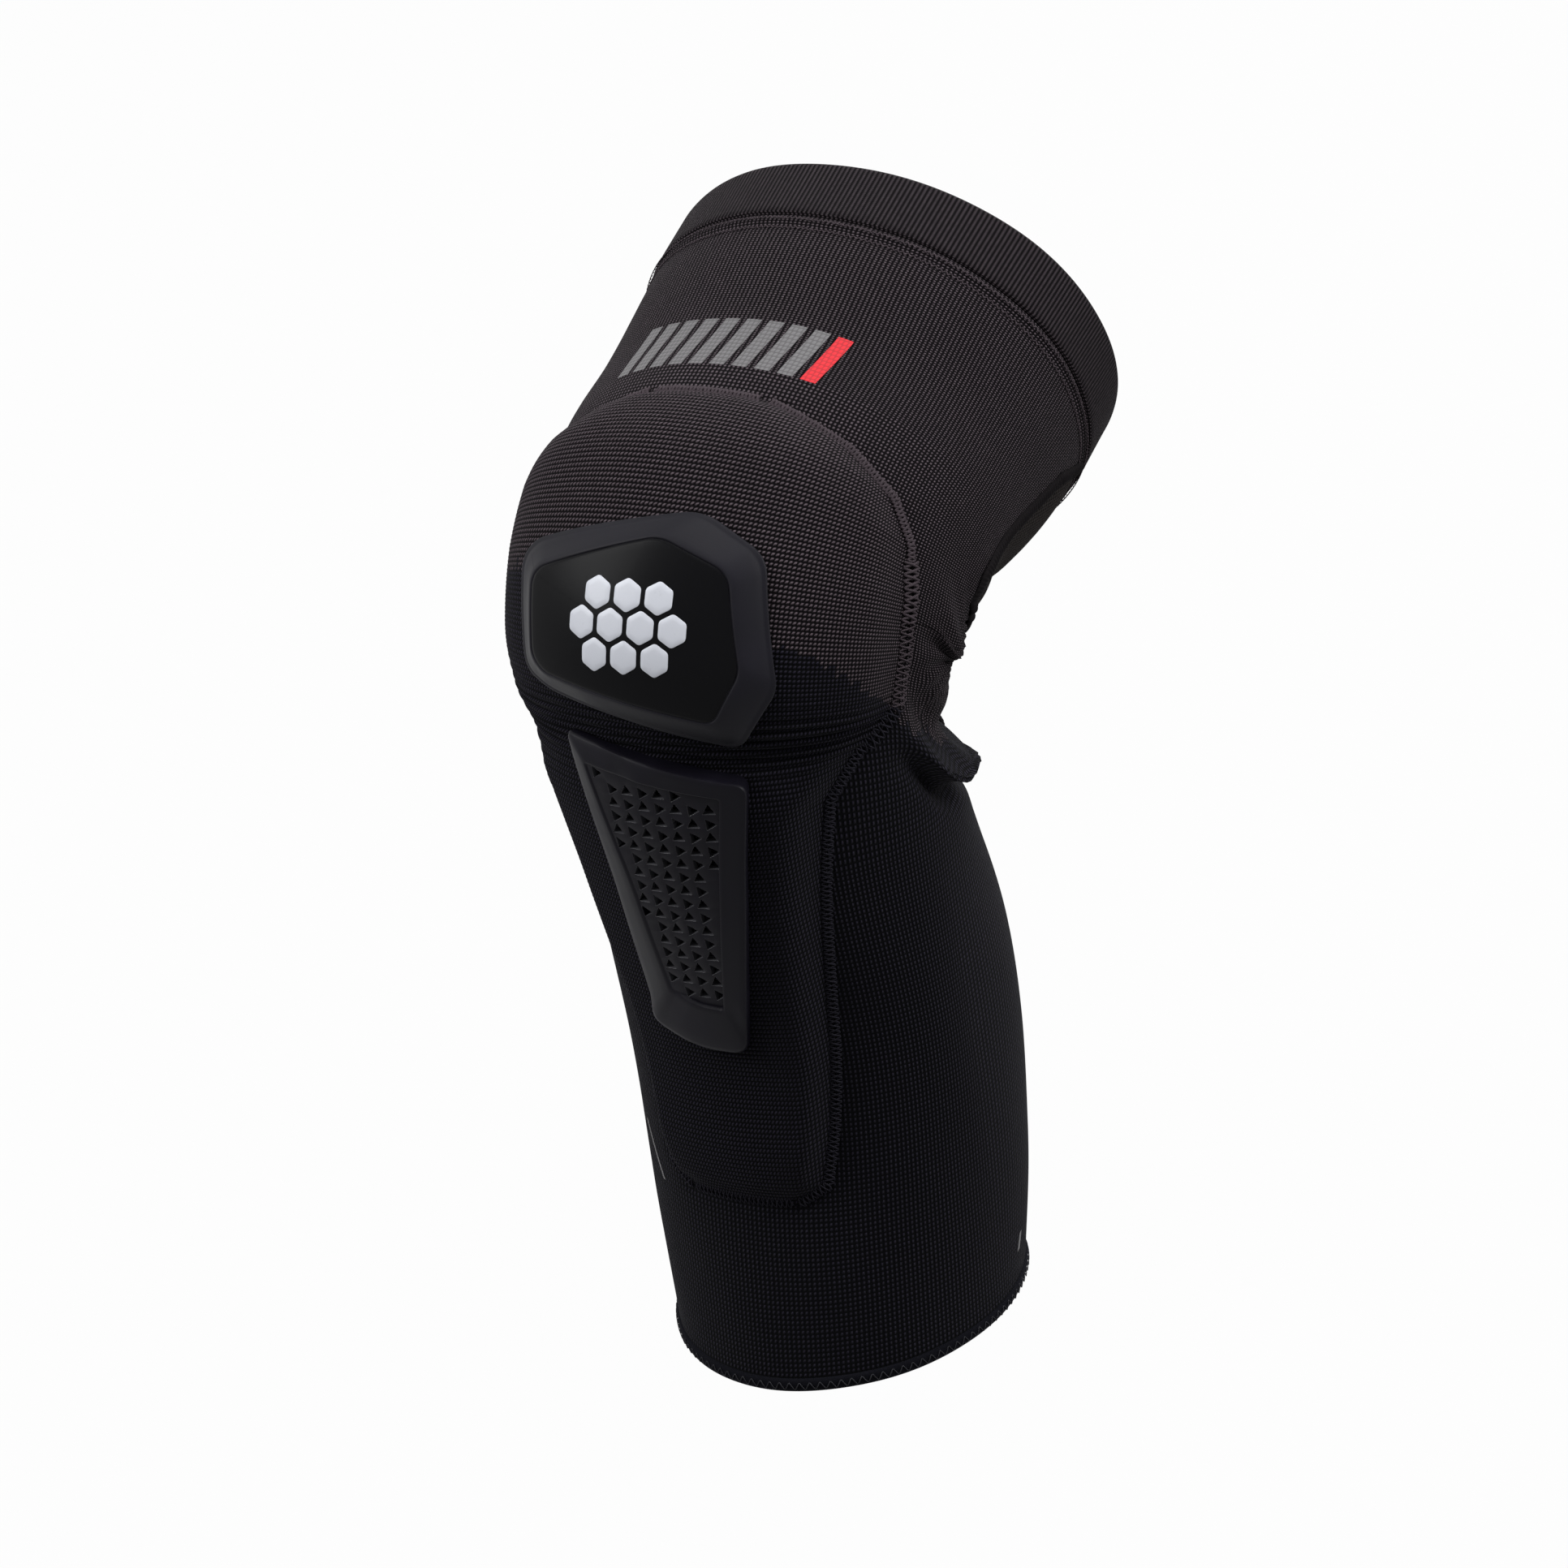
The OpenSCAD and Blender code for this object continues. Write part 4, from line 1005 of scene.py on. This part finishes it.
# The lower line runs down one side, across the mesh's lower end and up the other side.
bindFrom = rearMesh["bindFrom"]
sideRows = np.linspace(bindFrom, splitAt, 300)
endAngles = np.linspace(meshAngle(bindFrom), 360 - meshAngle(bindFrom), 120)
lowLines = [bindLine(np.concatenate([sideRows[:0:-1], 0 * endAngles + bindFrom, sideRows[1:]]),
                     np.concatenate([meshAngle(sideRows[:0:-1]), endAngles, 360 - meshAngle(sideRows[1:])]))]
sideRows = np.linspace(splitAt, cuffLow - 0.02, 300)
highLines = [bindLine(sideRows, side * meshAngle(sideRows)) for side in (1, -1)]
bindingLow = bindingPiece("rear_binding_lower", lowLines)
bindingHigh = bindingPiece("rear_binding_upper", highLines)
assign(bindingLow, "low", "black_thread", "calf_rear_binding", "knee_rear_binding")
assign(bindingHigh, "high", "black_thread", "thigh_rear_binding")
print("rear mesh made")


# Outlines of the moulded pieces are flat, in millimetres. Their corners are rounded by parabolas
# that start a given distance before each corner.
def rounded(corners, radii, arc=9, edge=7):
    c, r = np.array(corners, float), np.array(radii, float)[:, None]
    back, ahead = np.roll(c, 1, 0) - c, np.roll(c, -1, 0) - c
    start = c + back / np.linalg.norm(back, axis=1, keepdims=True) * r
    end = c + ahead / np.linalg.norm(ahead, axis=1, keepdims=True) * r
    k = np.linspace(0, 1, arc)[None, :, None]
    bend = (1 - k) ** 2 * start[:, None] + 2 * k * (1 - k) * c[:, None] + k**2 * end[:, None]
    e = np.linspace(0, 1, edge + 2)[None, 1:-1, None]
    straight = mix(end[:, None], np.roll(start, -1, 0)[:, None], e)
    return np.concatenate([bend, straight], 1).reshape(-1, 2)


# Knee cap: a rim, a wide bevel and a raised seat for the facet
cap = {
    "middle": 1.35,                 # station of the cap's own origin
    "perDegree": 1.35,              # millimetres round the knee for a degree
    "rim": [(-42.3, 15.5), (-36.5, 20.9), (18.9, 33), (39.5, 23.2), (47.3, -16), (35.5, -35), (-29, -21.3),
            (-38.6, -17)],
    "rimRound": [4, 4, 6.5, 5.5, 4, 4.5, 5, 4],
    "facet": [(-32.6, 9.2), (-30, 12.8), (9.5, 23.8), (30.4, 16.5), (36.4, -10.6), (28.5, -25.6),
              (-27.5, -15.6), (-31.2, -11.5)],
    "facetRound": [2.5, 3, 4, 4.5, 3.5, 3.2, 3, 2.5],
    # Share of the way from the rim to the facet's outline, and height above the pocket.
    "steps": [(0.06, 0.05), (0.0, 0.1), (0.0, 0.9), (0.015, 1.2), (0.05, 1.35), (0.12, 1.42), (0.16, 1.55),
              (0.2, 1.8), (0.35, 2.55), (0.55, 3.5), (0.8, 4.6), (0.92, 5.0), (0.97, 5.06), (0.99, 4.98),
              (1.0, 4.75)],
    "seat": 4.6, "seatSteps": (0.02, 0.3, 0.6, 0.85),       # under the facet, shares of the way to its middle
    "lipLift": 1.4, "lipOver": 30, "lipWide": 0.6,      # the lip stands higher on its left
    # The facet's edge: share of the way to its middle, and height. Its face is a low dome.
    "facetSteps": [(0.03, 4.65), (0.012, 4.75), (0.014, 4.95), (0.03, 5.08), (0.05, 5.12)],
    "face": 5.12, "dome": 0.1,
}


def capPoint(xy, h):
    u = cap["middle"] + xy[..., 1] / pocket["bendLength"]
    t = xy[..., 0] / cap["perDegree"]
    return legPoint(u, t, coverHeight(u, t) + h)


# Loops run backwards round the outline so that the faces point outwards.
rim = rounded(cap["rim"], cap["rimRound"])[::-1]
facetLine = rounded(cap["facet"], cap["facetRound"])[::-1]
centre = facetLine.mean(0)
lift = cap["lipLift"] * clip(-rim[:, 0] / cap["lipOver"])
capLoops = []
for k, h in cap["steps"]:
    lifted = (h > 0.5) * max(cap["lipWide"] - k, 0) / cap["lipWide"]
    capLoops.append(capPoint(mix(rim, facetLine, k), h + lift * lifted))
capLoops += [capPoint(mix(facetLine, centre, k), cap["seat"]) for k in cap["seatSteps"]]
kneeCap = loft("knee_cap_shell", np.stack(capLoops), capPoint(centre, cap["steps"][0][1]),
               capPoint(centre, cap["seat"]), 50)
assign(dress(kneeCap, "moulded"), "knee", "moulded_black", "knee_cap")

facetTop = cap["face"] + cap["dome"]
facetLoops = [capPoint(mix(facetLine, centre, k), h) for k, h in cap["facetSteps"]]
facetLoops += [capPoint(mix(facetLine, centre, k), cap["face"] + cap["dome"] * k)
               for k in np.linspace(0.12, 0.95, 9)]
facet = loft("cap_facet_gloss", np.stack(facetLoops), capPoint(centre, cap["facetSteps"][0][1]),
             capPoint(centre, facetTop), 50)
assign(dress(facet, "gloss"), "knee", "gloss_black", "cap_facet")

# Plain mark on the facet: hexagonal cells in rows of three, four and three.
mark = {
    "cell": 8, "round": 0.9, "pitch": 9.4, "rows": [3, 4, 3], "shift": (2.7, -0.5),
    # Share of the cell's outline, and height above the facet.
    "steps": [(1.0, 0.0), (1.0, 0.12), (0.97, 0.18), (0.6, 0.2), (0.25, 0.2)],
}


def markPiece(name):
    turn = np.arange(6) * np.pi / 3
    corners = mark["cell"] / math.sqrt(3) * np.stack([np.sin(turn), np.cos(turn)], -1)
    cell, cells = rounded(corners, [mark["round"]] * 6, 5, 4), []
    for r, count in enumerate(mark["rows"]):
        for k in range(count):
            place = [k - (count - 1) / 2, (r - (len(mark["rows"]) - 1) / 2) * math.sqrt(3) / 2]
            middle = np.array(mark["shift"]) + mark["pitch"] * np.array(place)
            cells.append(np.stack([capPoint(middle + cell * q, facetTop + h) for q, h in mark["steps"]]))
    return rods(name, cells, sharp=40)


assign(dress(markPiece("cap_mark_cells"), "mark"), "knee", "light_grey_print", "cap_mark")
print("cap made")

# Shin plate: a bevelled frame round a field of three cornered vents
plate = {
    "perDegree": 1.16,              # millimetres round the shin for a degree
    "ground": leg["shinFoam"] + leg["seat"] + leg["cover"],
    # Millimetres across, and up from the hem.
    "rim": [(-22.8, 213), (4, 207.5), (31.5, 201.5), (24.6, 158), (13.6, 110.8), (-2, 111.4), (-16.8, 118),
            (-18.2, 163)],
    "rimRound": [2.5, 8, 3.8, 12, 4.5, 7, 4, 12],
    "field": [(-15.2, 204.4), (4, 201.2), (23.2, 197.5), (17, 160), (10.2, 127), (3, 127.8), (-5.4, 131.5),
              (-8.6, 166)],
    "fieldRound": [1.2, 6, 1.2, 8, 1.2, 2, 1.5, 8],
    "fieldHeight": 2.5, "wall": 2.2, "tuck": 0.1,       # share of the frame that the field reaches under
    # Share of the way from the rim to the field, and height.
    "steps": [(0.0, 1.2), (0.025, 1.9), (0.06, 2.35), (0.12, 2.6), (0.3, 2.9), (0.6, 3.35), (0.86, 3.7),
              (0.92, 3.74), (0.96, 3.6), (0.985, 3.1), (1.0, 2.5)],
    "tilt": 1.6, "tiltOver": 12, "tiltFrom": (118, 6), "tiltWide": 0.86,
    "footLift": 0.8, "footLiftOver": (126, 12), "liftWide": 0.9, "flushFrom": 1, "flushOver": 5, "least": 0.3,
    "sole": 0.9,                    # share of the frame's width where it meets the pocket
    "pitch": (4.7, 4.45),           # between vents, across and up
    "vent": 2.2, "ventRound": 0.3,      # from a vent's middle to its corners
    "room": 0.9,                    # least distance from the edge, as a share of that
    "first": (-8, 100), "grid": (18, 30), "lean": (128, 0.085),
    "soften": 0.4,
}


def plateStation(y):
    beyond = y - leg["shinLength"]
    return np.where(beyond < 0, y / leg["shinLength"], 1 + beyond / pocket["bendLength"])


def platePoint(xy, h):
    return legPoint(plateStation(xy[..., 1]), xy[..., 0] / plate["perDegree"], plate["ground"] + h)


def plateFoot(xy):      # down on the pocket
    u, t = plateStation(xy[..., 1]), xy[..., 0] / plate["perDegree"]
    return legPoint(u, t, coverHeight(u, t))


plateRim, fieldLine = rounded(plate["rim"], plate["rimRound"]), rounded(plate["field"], plate["fieldRound"])
tucked = mix(fieldLine, plateRim, plate["tuck"])
# The frame stands higher on its right than on its left, except at its foot, which is lifted. On
# its left it comes down flush with the field.
tiltFrom, tiltRise = plate["tiltFrom"]
tilt = np.clip(plateRim[:, 0] / plate["tiltOver"], -1, 1) * plate["tilt"]
tilt = tilt * clip((plateRim[:, 1] - tiltFrom) / tiltRise)
footTop, footFade = plate["footLiftOver"]
footLift = plate["footLift"] * clip((footTop - plateRim[:, 1]) / footFade)
flush = clip((plate["flushFrom"] - fieldLine[:, 0]) / plate["flushOver"])


def frameHeight(k, h):
    sunk = np.minimum(flush * k, max(h - plate["fieldHeight"], 0))
    lifted = tilt * max(plate["tiltWide"] - k, 0) + footLift * max(plate["liftWide"] - k, 0)
    return np.maximum(h + lifted - sunk, plate["least"])


def framePiece(name):
    loops = [platePoint(fieldLine, plate["fieldHeight"] - plate["wall"]),
             platePoint(mix(fieldLine, plateRim, plate["sole"]), 0), plateFoot(plateRim)]
    loops += [platePoint(mix(plateRim, fieldLine, k), frameHeight(k, h)) for k, h in plate["steps"]]
    faces = gridQuads(len(loops), len(plateRim), True, True, turned=True).tolist()
    return newPiece(name, np.stack(loops), faces, sharp=35)


# Vents on a leaning lattice, pointing up and to the right in turn, where they fit in the field.
def ventOutlines():
    (px, py), (columns, rows), r = plate["pitch"], plate["grid"], plate["vent"]
    i, j = np.meshgrid(np.arange(columns), np.arange(rows), indexing="ij")
    x, y = (i + plate["first"][0]) * px, plate["first"][1] + j * py
    middles = np.stack([x + (y - plate["lean"][0]) * plate["lean"][1], y], -1).reshape(-1, 2)
    odd = ((i + j) % 2).ravel()
    # Distance to the field's outline, and whether a ray to the right crosses it an odd number of times.
    edge, after = tucked, np.roll(tucked, -1, 0)
    d = after - edge
    apart = middles[:, None] - edge[None]
    k = clip((apart * d).sum(-1) / ((d * d).sum(-1) + 1e-9))
    away = np.linalg.norm(apart - k[..., None] * d, axis=-1).min(1)
    spans = (edge[None, :, 1] > middles[:, None, 1]) != (after[None, :, 1] > middles[:, None, 1])
    crossing = edge[None, :, 0] + d[None, :, 0] * apart[..., 1] / (d[None, :, 1] + 1e-12)
    inside = (spans & (middles[:, None, 0] < crossing)).sum(1) % 2 == 1
    fits = inside & (away > plate["room"] * r)
    out = []
    for middle, o in zip(middles[fits], odd[fits]):
        a = np.pi / 2 * (1 - o) + np.arange(3) * 2 * np.pi / 3
        out.append(rounded(middle + r * np.stack([np.cos(a), np.sin(a)], -1), [plate["ventRound"]] * 3, 3, 0))
    return out


# The field is its outline filled with triangles, less the vents.
def fieldPiece(name):
    loops = [tucked] + ventOutlines()
    starts = np.cumsum([0] + [len(loop) for loop in loops])
    outlines = [list(range(a, b)) for a, b in zip(starts[:-1], starts[1:])]
    filled = geometry.delaunay_2d_cdt([Vector(p) for p in np.concatenate(loops)], [], outlines, 1, 1e-6)
    flat = np.array([v[:] for v in filled[0]])
    solid = [f for f, origin in zip(filled[2], filled[5]) if not any(o > 0 for o in origin)]
    upward = [f if np.cross(flat[f[1]] - flat[f[0]], flat[f[2]] - flat[f[0]]) > 0 else f[::-1] for f in solid]
    print("vents:", len(loops) - 1)
    return newPiece(name, platePoint(flat, plate["fieldHeight"]), [list(f) for f in upward], sharp=30)


plateFrame = dress(framePiece("shin_plate_frame"), "plate")
plateField = dress(fieldPiece("shin_plate_field"), "plate")
# The second slot, on the vent walls and rounded rims, is lighter: painted highlights round the vents.
plateField.data.materials.append(materials["ventWallHighlight"])
thicken(plateField, plate["wall"], 1)
soften = plateField.modifiers.new("soften", "BEVEL")
soften.width, soften.segments, soften.limit_method, soften.material = plate["soften"] / 1000, 3, "ANGLE", 1
assign(plateFrame, "shin", "moulded_black", "shin_plate")
assign(plateField, "shin", "moulded_black")
print("plate made")

# Printed marks. A bar is its two stations, its angle, its width and its lean in degrees.
prints = {
    "low": 2.0, "high": 2.24, "start": -34, "pitch": 6, "wide": 4, "lean": 3, "count": 9,
    "calf": [(0.272, 0.345, -38.2, 1.4, -11), (0.066, 0.09, 104, 2, 2)],
    "film": 0.14, "under": 0.02,        # height of the face and of the back above the knit
    "rows": 14, "columns": 8,
}


def barPiece(name, low, high, angle, wide, lean):
    k, s = np.linspace(0, 1, prints["rows"])[:, None], np.linspace(0, 1, prints["columns"])[None]
    u, t = np.broadcast_arrays(mix(low, high, k), angle + s * wide + lean * k)
    uv = np.stack([t / 360 * knit["thighColumns"], sleeveRow(u, t)], -1)
    return slab(name, fabricPoint(u, t, prints["film"]), fabricPoint(u, t, prints["under"]), uv, 50)


def printPiece(name, bars, material, how, slot, node):
    made = [barPiece(f"{name}_{n}", *bar) for n, bar in enumerate(bars)]
    bpy.ops.object.select_all(action="DESELECT")
    for each in made:
        each.select_set(True)
    piece = made[0]
    bpy.context.view_layer.objects.active = piece
    if len(made) > 1:
        bpy.ops.object.join()
    piece.name = name
    assign(dress(piece, material), how, slot, node)


bars = [(prints["low"], prints["high"], prints["start"] + n * prints["pitch"], prints["wide"], prints["lean"])
        for n in range(prints["count"] + 1)]
printPiece("thigh_bars", bars[:-1], "greyPrint", "high", "grey_print", "thigh_print_bars")
printPiece("thigh_bar_red", bars[-1:], "redPrint", "high", "red_print", "thigh_print_red")
printPiece("shin_bars", prints["calf"], "greyPrint", "shin", "grey_print", "shin_prints")
print("prints made")

# Floor, lamps and camera, in metres and degrees
studio = {
    "floor": (0.12, 0.12, 0.12, 1), "floorGlow": 0.98, "floorHalf": 12, "floorBelow": 0.0005,
    "ambient": 0.15,
    # Place, aim, size and power of each lamp.
    "left": ((-0.72, -0.6, 0.9), (0, 0.03, 0.22), (0.5, 0.7), 8),
    "right": ((0.88, 0.22, 0.78), (0, 0.03, 0.22), (0.4, 0.7), 9),
    "top": ((0.1, 0.0, 1.15), (0, 0.03, 0.2), (0.8, 0.6), 6.5),
    "back": ((-0.35, 1.25, 0.75), (0, 0.03, 0.17), (0.8, 0.8), 12),
}
view = {"azimuth": 36, "elevation": 26, "roll": -10.3, "distance": 1.7, "lens": 133,
        "aim": (0, 0.04, 0.15), "right": -0.0179}


# A floor that is dull to the light and glows towards the camera, so that it reads as pale paper.
def floorMaterial(name, colour, glow):
    g = Graph(name)
    g.finish(colour, 0.9, 0.0)
    shine = g.add("ShaderNodeEmission")
    shine.inputs["Color"].default_value = (1, 1, 1, 1)
    path = g.add("ShaderNodeLightPath")
    seen = g.math("MAXIMUM", path.outputs["Is Camera Ray"], g.math(
        "MAXIMUM", path.outputs["Is Glossy Ray"], path.outputs["Is Transmission Ray"]))
    mixer = g.add("ShaderNodeMixShader")
    g.put(mixer.inputs[0], g.math("MULTIPLY", seen, glow))
    g.tree.links.new(g.shader.outputs[0], mixer.inputs[1])
    g.tree.links.new(shine.outputs[0], mixer.inputs[2])
    output = next(n for n in g.tree.nodes if n.type == "OUTPUT_MATERIAL")
    g.tree.links.new(mixer.outputs[0], output.inputs["Surface"])
    return g.material


def makeFloor():
    mesh = bpy.data.meshes.new("floor")
    half, z = studio["floorHalf"], cadBox[0].z - studio["floorBelow"]
    corners = [(-half, -half, z), (half, -half, z), (half, half, z), (-half, half, z)]
    mesh.from_pydata(corners, [], [(0, 1, 2, 3)])
    floor = bpy.data.objects.new("floor", mesh)
    bpy.context.scene.collection.objects.link(floor)
    mesh.materials.append(floorMaterial("pale floor", studio["floor"], studio["floorGlow"]))


# White to the camera and in reflections, dim as a light.
def makeWorld(ambient):
    world = bpy.data.worlds.new("studio")
    bpy.context.scene.world = world
    world.use_nodes = True
    tree = world.node_tree
    back = tree.nodes["Background"]
    back.inputs["Color"].default_value = (1, 1, 1, 1)
    path = tree.nodes.new("ShaderNodeLightPath")
    most = [tree.nodes.new("ShaderNodeMath") for _ in range(2)]
    for node in most:
        node.operation = "MAXIMUM"
    tree.links.new(path.outputs["Is Camera Ray"], most[0].inputs[0])
    tree.links.new(path.outputs["Is Glossy Ray"], most[0].inputs[1])
    tree.links.new(most[0].outputs[0], most[1].inputs[0])
    tree.links.new(path.outputs["Is Transmission Ray"], most[1].inputs[1])
    level = tree.nodes.new("ShaderNodeMapRange")
    level.inputs["To Min"].default_value = ambient
    level.inputs["To Max"].default_value = 1.0
    tree.links.new(most[1].outputs[0], level.inputs["Value"])
    tree.links.new(level.outputs[0], back.inputs["Strength"])


def makeLamp(name, place, aim, size, watts):
    data = bpy.data.lights.new(name, "AREA")
    data.shape, data.size, data.size_y, data.energy = "RECTANGLE", size[0], size[1], watts
    lamp = bpy.data.objects.new(name, data)
    bpy.context.scene.collection.objects.link(lamp)
    lamp.location = place
    lamp.rotation_mode = "QUATERNION"
    lamp.rotation_quaternion = (Vector(aim) - Vector(place)).to_track_quat("-Z", "Y")


def makeCamera():
    azimuth, elevation, roll = (math.radians(view[k]) for k in ("azimuth", "elevation", "roll"))
    back = Vector((math.sin(azimuth) * math.cos(elevation), -math.cos(azimuth) * math.cos(elevation),
                   math.sin(elevation)))
    right = Vector((math.cos(azimuth), math.sin(azimuth), 0))
    up = back.cross(right)
    right, up = right * math.cos(roll) + up * math.sin(roll), up * math.cos(roll) - right * math.sin(roll)
    data = bpy.data.cameras.new("camera")
    data.lens, data.sensor_width = view["lens"], 36
    data.clip_start, data.clip_end = 0.05, 60
    camera = bpy.data.objects.new("camera", data)
    bpy.context.scene.collection.objects.link(camera)
    place = Vector(view["aim"]) + right * view["right"] + back * view["distance"]
    camera.matrix_world = Matrix.Translation(place) @ Matrix((right, up, back)).transposed().to_4x4()
    bpy.context.scene.camera = camera


makeFloor()
makeWorld(studio["ambient"])
for name in ("left", "right", "top", "back"):
    makeLamp(name, *studio[name])
makeCamera()
bpy.context.scene.view_settings.view_transform = "Standard"
print("stage made")
